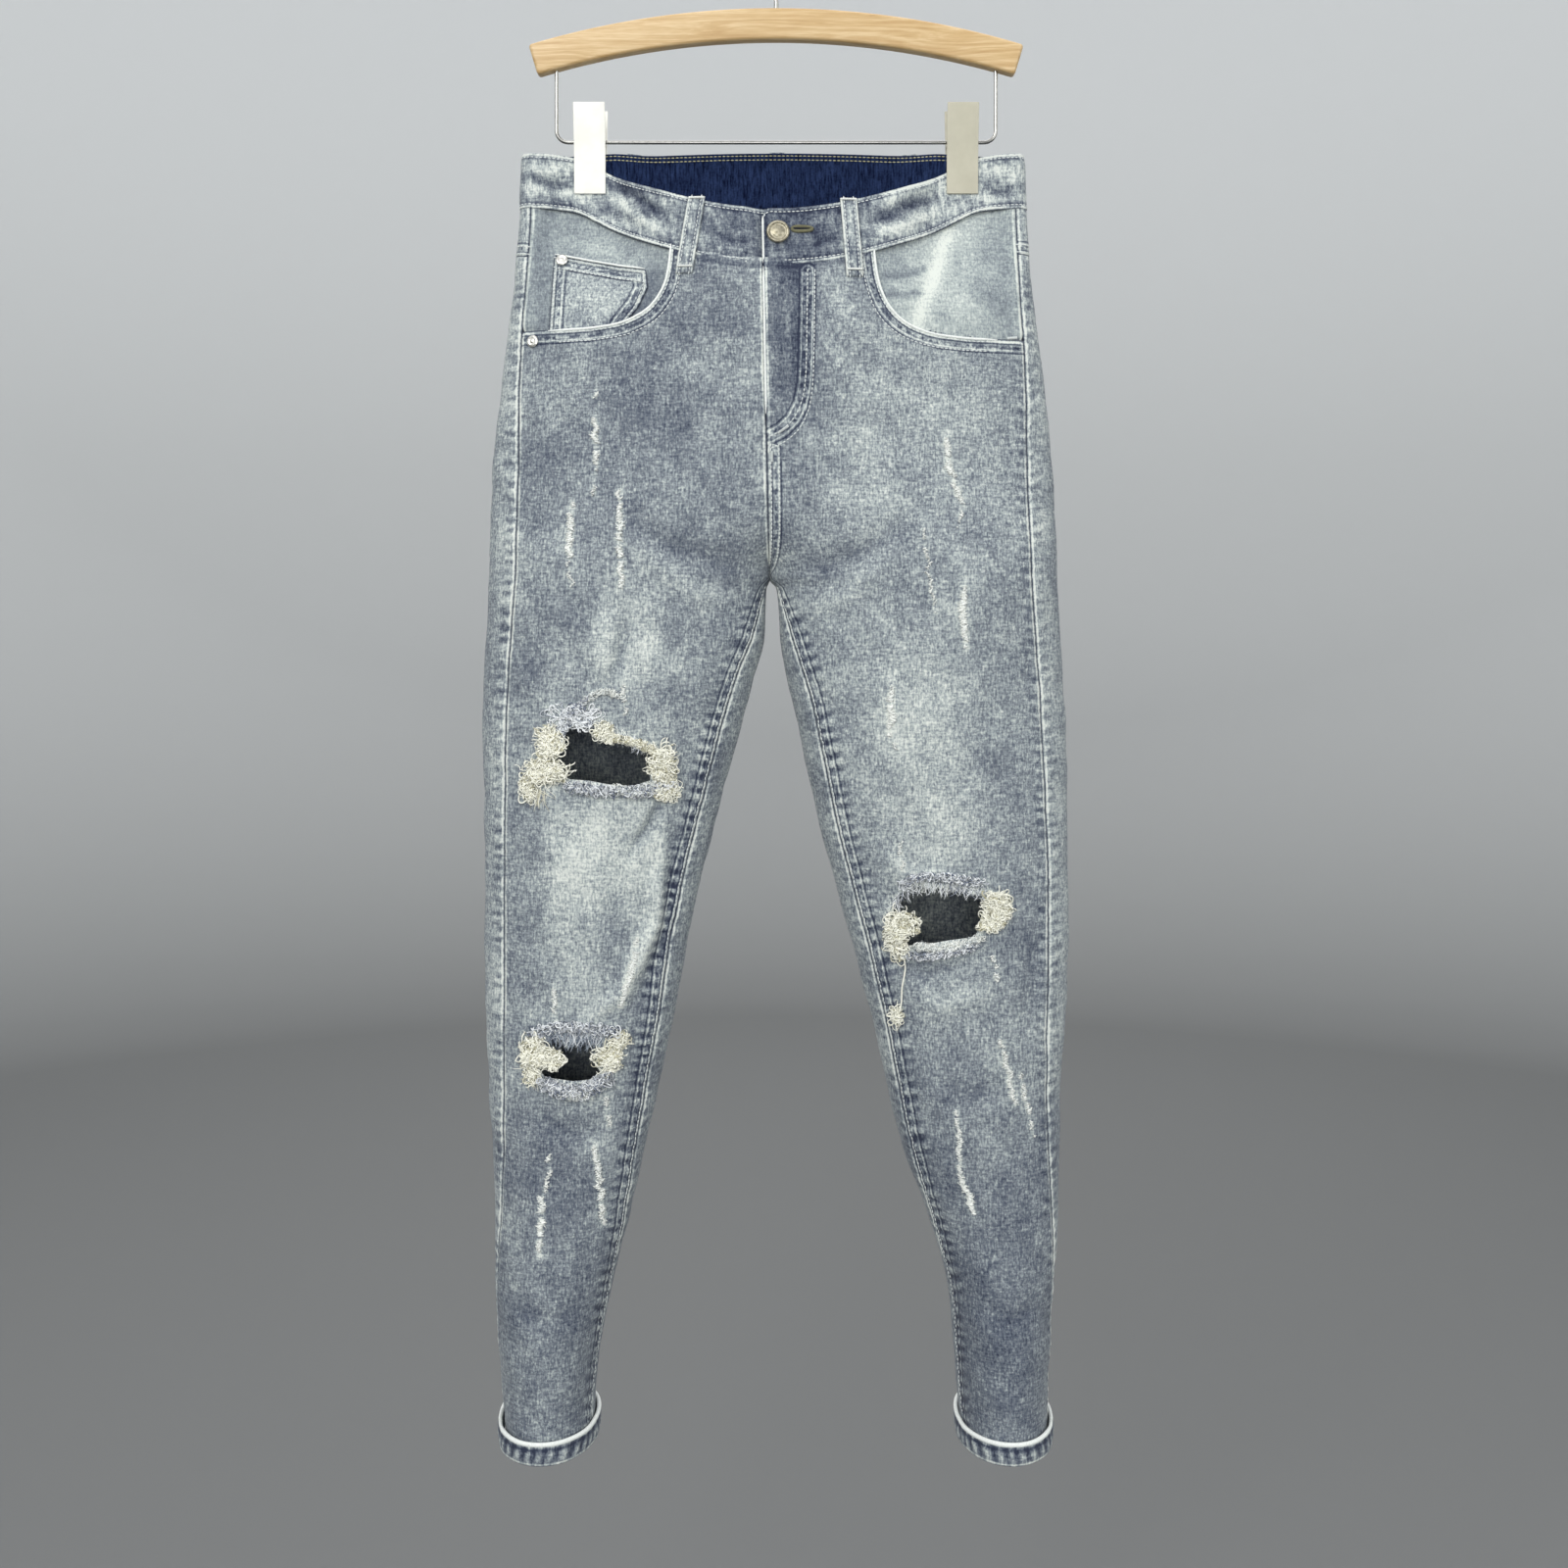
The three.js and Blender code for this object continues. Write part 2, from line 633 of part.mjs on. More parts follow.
// A round rod along a smooth line through points in the XZ plane.
function rod(points, radius, steps) {
  const path = new THREE.CatmullRomCurve3(
    points.map(([x, z]) => new THREE.Vector3(x, 0, z)), false, "centripetal");
  const shape = new THREE.Shape();
  shape.absarc(0, 0, radius, 0, 2 * Math.PI, false);
  const geometry = new THREE.ExtrudeGeometry(shape, {
    steps, extrudePath: path, curveSegments: 4, bevelEnabled: false,
  });
  return outsideOut(mergeVertices(bareOf(geometry), 1e-4));
}

function bareOf(geometry) {
  geometry.deleteAttribute("normal");
  geometry.deleteAttribute("uv");
  return geometry;
}

function arcPoints(cx, cz, radius, from, to, count) {
  return Array.from({ length: count + 1 }, (_, i) => {
    const angle = THREE.MathUtils.degToRad(from + ((to - from) * i) / count);
    return [cx + radius * Math.cos(angle), cz + radius * Math.sin(angle)];
  });
}

function wire() {
  const { x, z, bend, into } = WIRE;
  const top = underBar(x) + into;
  const points = [
    [-x, top], [-x, top - 20],
    ...arcPoints(-x + bend, z + bend, bend, 180, 270, 5),
    [-x + bend + 25, z], [0, z], [x - bend - 25, z],
    ...arcPoints(x - bend, z + bend, bend, 270, 360, 5),
    [x, top - 20], [x, top],
  ];
  return rod(points, WIRE.radius, 64);
}

function hook() {
  const radius = HOOK.inner + HOOK.radius;
  const points = [
    [0, BAR.top - HOOK.into], [0, BAR.top + 4], [0, HOOK.neck], [1.6, HOOK.neck + 8],
    ...arcPoints(0, -HOOK.inner, radius, -52, 205, 12),
  ];
  return rod(points, HOOK.radius, 44);
}

// One jaw of a clip: a bent plate, on the front (-1) or the back (1).
function jaw(x, towards) {
  const low = WAIST_Z - CLIP_GRIP;
  const grip = PINCHED + BAND / 2 + GAP + BOW;
  const high = WAIST_Z + CLIP.above;
  const line = [
    [grip, low], [grip, WAIST_Z - 6], [grip + 1.8, WIRE.z], [grip + CLIP.spread, high],
  ];
  const outside = line.map(([y, z]) => [y + CLIP.thickness, z]).reverse();
  const shape = new THREE.Shape(
    [...line, ...outside].map(([y, z]) => new THREE.Vector2(towards * y, z)));
  const plate = new THREE.ExtrudeGeometry(shape, { depth: CLIP.width, bevelEnabled: false });
  plate.translate(0, 0, -CLIP.width / 2);
  // Drawn in (y, z); turned so that the plate is as wide as the clip along X.
  plate.applyMatrix4(
    new THREE.Matrix4().set(0, 0, 1, x, 1, 0, 0, 0, 0, 1, 0, 0, 0, 0, 0, 1));
  return outsideOut(mergeVertices(bareOf(plate), 1e-4));
}

// The barrel that carries the jaws and slides on the wire.
function barrel(x) {
  const [inside, outside, half] = [WIRE.radius + GAP, CLIP.barrel, CLIP.width / 2 - 2];
  const profile = [
    [inside, -half], [outside, -half], [outside, half], [inside, half], [inside, -half],
  ].map(([r, y]) => new THREE.Vector2(r, y));
  const ring = new THREE.LatheGeometry(profile, 14);
  ring.rotateZ(Math.PI / 2);
  ring.translate(x, 0, WIRE.z);
  return outsideOut(mergeVertices(bareOf(ring), 1e-4));
}

// ---- assembly -----------------------------------------------------------------------------

const jeans = new THREE.Group();
const finish = (colour, roughness, metalness) =>
  new THREE.MeshStandardMaterial({ color: colour, roughness, metalness });
const cloth = (colour) => finish(colour, 0.9, 0);
const metal = (colour) => finish(colour, 0.35, 0.9);

function add(name, shape, material) {
  const mesh = shape.isMesh ? shape : new THREE.Mesh(shape);
  mesh.name = name;
  mesh.material = material;
  jeans.add(mesh);
}

for (const [name, side] of Object.entries(SIDES)) {
  for (const part of ["upper", "lower"]) {
    add(`front_${name}_${part}`, frontPanel(side, part), cloth(COLOURS.denim));
    add(`back_${name}_${part}`, panelPart(side, "back", part), cloth(COLOURS.denim));
  }
  add(`yoke_${name}`, yoke(side), cloth(COLOURS.denim));
  add(`pocket_facing_${name}`, facing(side), cloth(COLOURS.facing));
  add(`back_pocket_${name}`, backPocket(side, BACK_POCKET_X[name]), cloth(COLOURS.denim));
  add(`cuff_${name}`, cuff(side), cloth(COLOURS.denim));
}
add("waistband", waistband(), cloth(COLOURS.denim));
add("coin_pocket", coinPocket(), cloth(COLOURS.facing));
for (const [name, [side, panel, x]] of Object.entries(LOOP_PLACES))
  add(`belt_loop_${name}`, beltLoop(side, panel, x), cloth(COLOURS.denim));
add("button", button(), metal(COLOURS.button));
for (const [name, place] of Object.entries(RIVETS))
  add(name, rivet(place), metal(COLOURS.steel));

add("hanger_bar", bar(), finish(COLOURS.wood, 0.5, 0));
add("hanger_wire", wire(), metal(COLOURS.steel));
add("hanger_hook", hook(), metal(COLOURS.steel));
for (const [name, side] of Object.entries(SIDES)) {
  add(`clip_front_jaw_${name}`, jaw(side * CLIP_X, -1), metal(COLOURS.steel));
  add(`clip_back_jaw_${name}`, jaw(side * CLIP_X, 1), metal(COLOURS.steel));
  add(`clip_barrel_${name}`, barrel(side * CLIP_X), metal(COLOURS.steel));
}

export default jeans;
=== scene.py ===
"""Ripped jeans on a wooden clip hanger: the looks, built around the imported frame.

Every cloth piece lies on one surface, the skin, which the frame's solids follow too. A point
of it is given by the side (-1 the wearer's right, 1 the left), the panel, u across the panel
from the side seam to the middle or inside leg seam, and h, the height in millimetres below
the top edge of the waistband. Lengths of the skin are in millimetres, and meshes in metres.
"""

import math

import bmesh
import bpy
import numpy as np
from bpy.props import FloatProperty, FloatVectorProperty, IntProperty, PointerProperty
from mathutils import Matrix, Vector


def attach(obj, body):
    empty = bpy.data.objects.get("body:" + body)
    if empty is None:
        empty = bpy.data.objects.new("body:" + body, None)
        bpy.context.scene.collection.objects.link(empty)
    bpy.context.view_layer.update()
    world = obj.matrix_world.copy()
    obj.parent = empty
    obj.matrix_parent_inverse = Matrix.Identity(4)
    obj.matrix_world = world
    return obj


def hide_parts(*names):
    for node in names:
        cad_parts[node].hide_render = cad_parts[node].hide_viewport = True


bl_info = {
    "name": "Ripped jeans on a clip hanger",
    "version": (1, 0, 0),
    "blender": (4, 5, 0),
    "location": "3D View > Sidebar > Jeans",
    "description": "Builds faded, ripped jeans hung by the waistband from a wooden clip hanger",
    "category": "Add Mesh",
}

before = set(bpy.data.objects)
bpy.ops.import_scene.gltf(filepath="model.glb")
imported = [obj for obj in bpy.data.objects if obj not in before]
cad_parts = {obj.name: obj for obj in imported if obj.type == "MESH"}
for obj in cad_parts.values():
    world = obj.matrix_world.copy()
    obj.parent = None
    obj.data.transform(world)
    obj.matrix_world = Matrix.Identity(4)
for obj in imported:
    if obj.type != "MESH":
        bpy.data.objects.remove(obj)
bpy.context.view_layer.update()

MM = 0.001
RIGHT, LEFT = -1, 1
SIDES = {"right": RIGHT, "left": LEFT}
WAIST_Z = -180.0  # top edge of the waistband at the sides, below the rail
CROTCH = 322.0
FORK = 205.0
LEG_END = 973.0
CLIP_X = 142.0
CLIP_GRIP = 30.0
CLIP_WIDTH = 24.0
PINCHED = 2.2
BAND = 3.0  # thickness of the waistband
DENIM = 1.2

# ---- the skin -----------------------------------------------------------------------------

# Outline of the hanging jeans: [h, right outer x, left outer x].
OUTER = [
    [-10, -193, 188], [60, -196, 192], [130, -204, 198], [200, -211, 206], [270, -216, 212],
    [340, -220, 216], [410, -223, 220], [520, -222, 222], [600, -221.5, 222],
    [680, -219, 219.5], [760, -216, 216], [860, -211, 210], [990, -206, 205.5],
]
# The inner outlines of the legs: [h, right inner x, left inner x].
INNER = [
    [322, -5.3, -4.7], [330, -9.5, 2], [372, -11, 4], [410, -19.5, 10], [522, -50, 37],
    [597, -68, 57], [672, -82, 76], [747, -98, 96], [860, -125, 131], [930, -137, 139],
    [990, -140, 142],
]
# How far the cloth stands out: [h, to the front, to the back].
DEPTH = [
    [-10, 25, 17], [45, 30, 24], [110, 40, 38], [190, 46, 50], [270, 49, 54], [330, 52, 55],
    [420, 51, 54], [520, 47, 50], [640, 43, 46], [760, 43, 45], [860, 46, 46], [990, 52, 47],
]
# How far in from the outline the side seam and the inside leg seam lie on the front.
INSET = [
    [-10, 8, 0], [45, 9, 0], [150, 14, 0], [230, 21, 0], [322, 25, 0], [400, 23, 14],
    [520, 20, 13], [640, 18, 11], [740, 13, 7], [820, 6, 3], [900, 1.5, 1], [990, 1.5, 1],
]
CENTRE_TOP, CENTRE_CROTCH = -11.0, -5.0
FLATNESS_HIP, FLATNESS_LEG = 0.78, 0.92
FRONT_DIP, BACK_RISE, SEAM_DIP, BAND_HEIGHT, DIP_HALF = 47.0, 7.0, 49.0, 42.0, 152.0
YOKE_SIDE, YOKE_CENTRE = 78.0, 108.0
RING_STEPS = 48  # straight steps in which a line across a panel is measured
FAR = 99.0  # a distance that means nowhere near


def ease(x):
    t = np.clip(x, 0, 1)
    return t * t * (3 - 2 * t)


def curve(rows, column):
    """A smooth curve through one column of a table whose first column is h."""
    at = np.array([row[0] for row in rows], float)
    value = np.array([row[column] for row in rows], float)
    before = np.maximum(np.arange(len(at)) - 1, 0)
    after = np.minimum(np.arange(len(at)) + 1, len(at) - 1)
    slope = (value[after] - value[before]) / (at[after] - at[before])

    def evaluate(h):
        h = np.asarray(h, float)
        i = np.clip(np.searchsorted(at, h) - 1, 0, len(at) - 2)
        d = at[i + 1] - at[i]
        t = np.clip((h - at[i]) / d, 0, 1)
        t2, t3 = t * t, t * t * t
        return (
            value[i] * (2 * t3 - 3 * t2 + 1)
            + slope[i] * d * (t3 - 2 * t2 + t)
            + value[i + 1] * (3 * t2 - 2 * t3)
            + slope[i + 1] * d * (t3 - t2)
        )

    return evaluate


OUTER_AT = {RIGHT: curve(OUTER, 1), LEFT: curve(OUTER, 2)}
INNER_AT = {RIGHT: curve(INNER, 1), LEFT: curve(INNER, 2)}
FRONT_DEPTH, BACK_DEPTH = curve(DEPTH, 1), curve(DEPTH, 2)
OUTSEAM_INSET, INSEAM_INSET = curve(INSET, 1), curve(INSET, 2)


def centre_x(h):
    return CENTRE_TOP + (CENTRE_CROTCH - CENTRE_TOP) * np.clip(np.asarray(h) / CROTCH, 0, 1)


def pinch(x, y, h):
    """The clips press front and back together, and the creases fade out below them."""
    strength = 1 - ease((h - CLIP_GRIP - 12) / 95)
    beyond = np.maximum(0, np.abs(np.abs(x) - CLIP_X) - CLIP_WIDTH / 2 - 1)
    near = strength * np.exp(-((beyond / (22 + 0.2 * np.maximum(0, h))) ** 2))
    held = PINCHED + 0.14 * np.maximum(0, h - CLIP_GRIP - 4)
    size = np.abs(y)
    return np.sign(y) * (size + (np.minimum(size, held) - size) * near)


def ring(side, panel, h):
    """Points (x, y) across a panel at each h, and the length up to each of them."""
    h = np.asarray(h, float)[:, None]
    xo, xc = OUTER_AT[side](h), centre_x(h)
    hips = h <= CROTCH
    parted = ease((h - FORK) / (CROTCH - FORK))
    middle = np.where(hips, xc + (xo - xc) * parted / 2, (xo + INNER_AT[side](h)) / 2)
    half = xo - middle
    start = np.arccos(1 - OUTSEAM_INSET(h) / np.abs(half))
    end_hips = np.arccos(np.clip((xc - middle) / half, -1, 1))
    end_leg = np.arccos(-1 + np.maximum(0, INSEAM_INSET(h)) / np.abs(half))
    if panel == "front":
        end = np.where(hips, end_hips, end_leg)
    else:
        end = np.where(hips, -end_hips, end_leg - 2 * np.pi)
    angle = start + (end - start) * np.linspace(0, 1, RING_STEPS + 1)
    x, sine = middle + half * np.cos(angle), np.sin(angle)
    depth = np.where(sine > 0, -FRONT_DEPTH(h), BACK_DEPTH(h))
    flatness = FLATNESS_HIP + (FLATNESS_LEG - FLATNESS_HIP) * ease((h - 150) / 250)
    y = pinch(x, depth * np.abs(sine) ** flatness, h)
    along = np.zeros_like(x)
    along[:, 1:] = np.cumsum(np.hypot(np.diff(x), np.diff(y)), axis=1)
    return x, y, along


def skin(side, panel, u, h):
    """Points of the skin, and the length of the panel at each h."""
    u, h = np.broadcast_arrays(np.asarray(u, float), np.asarray(h, float))
    shape = u.shape
    x, y, along = ring(side, panel, h.ravel())
    target = np.clip(u.ravel(), 0, 1) * along[:, -1]
    i = np.clip((along < target[:, None]).sum(1) - 1, 0, RING_STEPS - 1)
    row = np.arange(len(i))
    t = (target - along[row, i]) / (along[row, i + 1] - along[row, i])
    points = np.stack(
        [
            x[row, i] + (x[row, i + 1] - x[row, i]) * t,
            y[row, i] + (y[row, i + 1] - y[row, i]) * t,
            WAIST_Z - h.ravel(),
        ],
        axis=1,
    )
    return points.reshape(*shape, 3), along[:, -1].reshape(shape)


def unit(v):
    return v / np.maximum(np.linalg.norm(v, axis=-1, keepdims=True), 1e-9)


def walked(points):
    """Length of a line up to each of its points."""
    steps = np.linalg.norm(np.diff(points, axis=0), axis=1)
    return np.concatenate([[0], np.cumsum(steps)])


def read_off(wanted, along, values):
    """Columns of values read off at lengths along a line."""
    return np.stack([np.interp(wanted, along, column) for column in values.T], axis=1)


def hill(x, width):
    """1 where x is 0, falling away smoothly over a width to both sides."""
    return np.exp(-((x / width) ** 2))


def patch(x, h, middle_x, middle_h, half_width, half_height):
    """1 in the middle of an oval patch, falling away smoothly around it."""
    return np.exp(-(((x - middle_x) / half_width) ** 2) - ((h - middle_h) / half_height) ** 2)


def outward(side, panel, u, h):
    du, dh = 0.004, 1.0
    across = skin(side, panel, u + du, h)[0] - skin(side, panel, u - du, h)[0]
    down = skin(side, panel, u, h + dh)[0] - skin(side, panel, u, h - dh)[0]
    turn = side if panel == "front" else -side
    return unit(np.cross(across, down)) * turn


def u_at(side, panel, x, h):
    """u of the point of a panel that has a given x."""
    x, h = np.broadcast_arrays(np.asarray(x, float), np.asarray(h, float))
    xs, _, along = ring(side, panel, h.ravel())
    key, wanted = -side * xs, -side * x.ravel()
    i = np.clip((key < wanted[:, None]).sum(1), 1, RING_STEPS) - 1
    row = np.arange(len(i))
    t = np.clip((wanted - key[row, i]) / (key[row, i + 1] - key[row, i] + 1e-9), 0, 1)
    length = along[row, i] + (along[row, i + 1] - along[row, i]) * t
    return (length / along[:, -1]).reshape(x.shape)


def dip_shape(x):
    p = 1 - (np.asarray(x) / DIP_HALF) ** 2
    return (p + np.sqrt(p * p + 0.012)) / 2


def band_top(panel, x):
    return (FRONT_DIP if panel == "front" else -BACK_RISE) * dip_shape(x)


def band_seam(panel, x):
    return BAND_HEIGHT + (SEAM_DIP if panel == "front" else -BACK_RISE) * dip_shape(x)


def yoke_seam(x):
    return YOKE_SIDE + (YOKE_CENTRE - YOKE_SIDE) * (1 - np.minimum(1, np.abs(x - CENTRE_TOP) / 190))


def crossing(side, panel, u, line):
    """Where a line across the jeans, given as h for each x, crosses columns u of a panel."""
    h = np.full(np.shape(u), float(line(0.0)))
    for _ in range(12):
        h = line(skin(side, panel, u, h)[0][..., 0])
    return h


# ---- creases and marks --------------------------------------------------------------------


def to_line(x, h, points):
    """Distance to a line through points, and how far along it, from 0 to 1, the foot is."""
    points = np.array(points, float)
    legs = np.hypot(*np.diff(points, axis=0).T)
    best, where = np.full(np.shape(x), 1e9), np.zeros(np.shape(x))
    for i, leg in enumerate(legs):
        (ax, ah), (bx, bh) = points[i], points[i + 1]
        t = ((x - ax) * (bx - ax) + (h - ah) * (bh - ah)) / leg**2
        t = np.clip(t, 0, 1)
        d = np.hypot(x - ax - t * (bx - ax), h - ah - t * (bh - ah))
        where = np.where(d < best, (legs[:i].sum() + t * leg) / legs.sum(), where)
        best = np.minimum(d, best)
    return best, where


WAVES = 9  # how many waves are added up in smooth noise


def waves(x, h, seed, size, stretch=1.0):
    """Smooth noise from about -1 to 1, about size millimetres across."""
    draw = np.random.default_rng(seed)
    total = np.zeros(np.broadcast(x, h).shape)
    for _ in range(WAVES):
        angle, phase = draw.uniform(0, 2 * np.pi, 2)
        wave = size * draw.uniform(0.7, 1.6)
        along = x * np.cos(angle) + h * np.sin(angle) / stretch
        total += np.sin(2 * np.pi * along / wave + phase)
    return total / math.sqrt(WAVES) / 1.4


# Creases: side, line of (x, h), width and height, a trough where the height is below 0.
CREASES = [
    (RIGHT, [(-110, 350), (-112, 372), (-117, 400)], 5, -2.4),
    (RIGHT, [(-124, 345), (-127, 380), (-134, 408)], 9, 1.6),
    (RIGHT, [(-84, 486), (-92, 505), (-107, 527)], 4, -3.4),
    (RIGHT, [(-83, 505), (-90, 580), (-114, 632), (-147, 655)], 5.5, 2.9),
    (RIGHT, [(-75, 520), (-80, 585), (-103, 640)], 6, -2.4),
    (RIGHT, [(-125, 540), (-118, 600), (-128, 640)], 12, -1.4),
    (RIGHT, [(-150, 500), (-160, 560), (-158, 620)], 14, 1.2),
    (RIGHT, [(-190, 720), (-150, 735), (-120, 728)], 9, -1.2),
    (RIGHT, [(-195, 860), (-165, 872), (-145, 866)], 8, -0.9),
    (RIGHT, [(-120, 270), (-80, 300), (-25, 318)], 9, -1.7),
    (RIGHT, [(-100, 300), (-60, 335), (-22, 345)], 8, 1.4),
    (LEFT, [(105, 275), (65, 305), (15, 322)], 9, -1.7),
    (LEFT, [(90, 305), (50, 338), (12, 348)], 8, 1.4),
    (LEFT, [(88, 610), (112, 618), (150, 606)], 6, -1.6),
    (LEFT, [(95, 628), (120, 640), (165, 630)], 9, 1.4),
    (LEFT, [(75, 520), (98, 545), (130, 540)], 7, 1.3),
    (LEFT, [(185, 575), (192, 620), (186, 670)], 9, -1.4),
    (LEFT, [(120, 690), (140, 706), (180, 700)], 10, -1.1),
    (LEFT, [(150, 860), (170, 872), (200, 862)], 8, -0.9),
]
# Creases of the waistband that run from the clips.
BAND_CREASES = [
    (RIGHT, [(-130, 20), (-104, 36), (-76, 58)], 3.2, -2.2),
    (RIGHT, [(-128, 31), (-100, 54), (-78, 70)], 3.6, 1.6),
    (RIGHT, [(-131, 12), (-98, 22), (-70, 44)], 3.4, 1.4),
    (RIGHT, [(-190, 20), (-168, 25), (-152, 22)], 3.0, -1.6),
    (RIGHT, [(-190, 11), (-172, 15), (-154, 12)], 3.6, 1.4),
    (RIGHT, [(-48, 66), (-28, 74), (-14, 72)], 3.4, -1.3),
    (LEFT, [(64, 62), (98, 43), (130, 30)], 3.2, -1.9),
    (LEFT, [(66, 74), (100, 56), (132, 41)], 3.8, 1.5),
    (LEFT, [(70, 49), (100, 30), (131, 17)], 3.6, 1.4),
    (LEFT, [(154, 24), (172, 30), (188, 27)], 3.2, -1.6),
    (LEFT, [(20, 79), (34, 73), (47, 70)], 3.0, -1.2),
]


def creased(side, x, h, creases):
    total = np.zeros(np.broadcast(x, h).shape)
    for on, points, width, height in creases:
        if on == side:
            d, along = to_line(x, h, points)
            total += height * hill(d, width) * np.sin(np.pi * np.clip(along, 0.06, 0.94))
    return total


PUCKER = 9.0  # usual spacing of the puckers beside the seams


def roping(along, across, seed):
    """Uneven puckers along a seam, from -1 in a hollow to 1 on a crest."""
    drift = 5 * waves(0 * along, along, seed, 70) + 1.5 * waves(0 * along, along, seed + 1, 23)
    beat = np.sin(2 * np.pi * (along + drift + 0.25 * across) / PUCKER)
    size = 0.65 + 0.35 * waves(across, along, seed + 2, 31)
    return np.tanh(2.0 * beat) * np.clip(size, 0.1, 1)


# Beside which seams the cloth is puckered: panel, seam, from h, how far, how strongly on the
# right and on the left.
ROPED = (
    ("front", "outer", 130, 12, (0.15, 0.75)), ("front", "inner", CROTCH + 4, 21, (1.0, 1.0)),
    ("back", "outer", 90, 15, (0.9, 0.7)), ("back", "inner", 70, 10, (0.6, 0.6)),
)


def roped(side, panel, h, from_outseam, from_inseam):
    total = 0 * h
    for number, (on, seam, low, far, strength) in enumerate(ROPED):
        if on == panel:
            d = from_outseam if seam == "outer" else from_inseam
            near = ease((d - 0.5) / 2) * (1 - ease((d - far * 0.55) / (far * 0.45)))
            total = total + strength[side == LEFT] * near * ease((h - low) / 20) * roping(
                h, d, 200 + 10 * number + side)
    return total


def relief(side, panel, x, h, from_outseam, from_inseam):
    """How far the cloth stands out of the skin."""
    # Front and back share their waves, so that they meet at the seams.
    total = 1.5 * waves(x, h, 11, 110, 1.6)
    total += 0.5 * waves(x, h, 16, 30, 1.3)
    total += 0.16 * waves(x, h, 20, 9, 1.2)
    if panel == "front":
        total += 1.7 * creased(side, x, h, CREASES) * ease(from_inseam / 12) * ease(from_outseam / 12)
    total += 0.55 * roped(side, panel, h, from_outseam, from_inseam)
    lapped = side == LEFT and panel == "front"
    for seam, distance in (("outer", from_outseam), ("inner", from_inseam)):
        groove = -0.6 * hill(distance, 1.3)
        if lapped and seam == "inner":
            groove = groove * ease((h - 200) / 20)
        total += groove + 0.25 * hill(distance - 3.5, 2.5)
    if lapped:
        # The fly's edge lies on the right front.
        total += 1.1 * hill(from_inseam, 16) * (1 - ease((h - 198) / 26))
    calm = ease((h - 40) / 80)  # held flat under the waistband
    return total * (0.25 + 0.75 * calm)


def surface(side, panel, u, h, out=0.0):
    """Points on the creased cloth, moved out, and the normals of the skin there."""
    u, h = np.broadcast_arrays(np.asarray(u, float), np.asarray(h, float))
    points, length = skin(side, panel, u, h)
    normal = outward(side, panel, u, h)
    height = relief(side, panel, points[..., 0], h, u * length, (1 - u) * length)
    return points + normal * (height + out)[..., None], normal


def on_panel(side, panel, line, out=0.0):
    """A line given as (x, h) laid on a panel."""
    x, h = np.array(line, float).T
    return surface(side, panel, u_at(side, panel, x, h), h, out)


# Rips: outline of (x, h), and the tufts and rolls of loose threads around them.
RIPS = {
    "thigh": (
        RIGHT,
        [(-178, 474), (-172, 455), (-163, 440), (-158, 432), (-148, 431), (-141, 425),
         (-134, 430), (-132, 442), (-121, 444), (-111, 441), (-104, 450), (-90, 450),
         (-88, 456), (-95, 464), (-92, 473), (-105, 477), (-121, 476), (-137, 473),
         (-152, 472), (-161, 464), (-160, 470), (-168, 476)],
    ),
    "shin": (
        RIGHT,
        [(-177, 684), (-175, 673), (-169, 662), (-160, 662), (-155, 672), (-146, 668),
         (-143, 664), (-137, 666), (-133, 671), (-136, 679), (-130, 690), (-138, 695),
         (-150, 696), (-162, 694), (-170, 694)],
    ),
    "knee": (
        LEFT,
        [(86, 590), (86, 572), (90, 560), (101, 552), (118, 553), (138, 552), (144, 558),
         (157, 558), (163, 562), (158, 570), (150, 582), (147, 589), (130, 591), (115, 594),
         (100, 596), (92, 598)],
    ),
}


def inside_outline(x, h, outline):
    """Distance to an outline of (x, h), below 0 inside it."""
    closed = list(outline) + [outline[0]]
    distance, _ = to_line(x, h, closed)
    inside = np.zeros(np.shape(x), bool)
    for (ax, ah), (bx, bh) in zip(closed[:-1], closed[1:]):
        spans = (ah > h) != (bh > h)
        rise = bh - ah if bh != ah else 1e-9
        inside ^= spans & (x < (bx - ax) * (h - ah) / rise + ax)
    return np.where(inside, -distance, distance)


def to_rips(side, x, h):
    """Distance to the nearest rip, below 0 inside it."""
    nearest = FAR + 0 * x
    for on, outline in RIPS.values():
        if on == side:
            nearest = np.minimum(nearest, inside_outline(x, h, outline))
    return nearest


SCOOP_FROM, SCOOP_WIDTH, SCOOP_POWER = 42.0, 110.0, 4.0
SCOOP_DEPTH = {RIGHT: 96.0, LEFT: 103.0}
SCOOP_SEAM = {side: float(OUTER_AT[side](100.0)) - side * 12 for side in (RIGHT, LEFT)}


def scoop_line(side, margin=0.0, count=90):
    """The mouth of a front pocket, from the side seam round to the waistband."""
    angle = np.linspace(np.pi / 2, 0, count)
    x = (SCOOP_WIDTH + margin) * np.cos(angle) ** (2 / SCOOP_POWER)
    h = (SCOOP_DEPTH[side] + margin) * np.sin(angle) ** (2 / SCOOP_POWER)
    return np.stack([SCOOP_SEAM[side] - side * x, SCOOP_FROM + h], axis=1)


def to_scoop(side, x, h):
    """Distance to the mouth of a front pocket, below 0 inside it."""
    dx = np.maximum(0, side * (SCOOP_SEAM[side] - x)) / SCOOP_WIDTH
    dh = np.maximum(0, h - SCOOP_FROM) / SCOOP_DEPTH[side]
    radius = (dx**SCOOP_POWER + dh**SCOOP_POWER) ** (1 / SCOOP_POWER)
    line = scoop_line(side)
    line = np.concatenate([[[side * 240, line[0][1]]], line, [[line[-1][0], -40]]])
    distance, _ = to_line(x, h, line[::6])
    return np.where(radius < 1, -distance, distance)


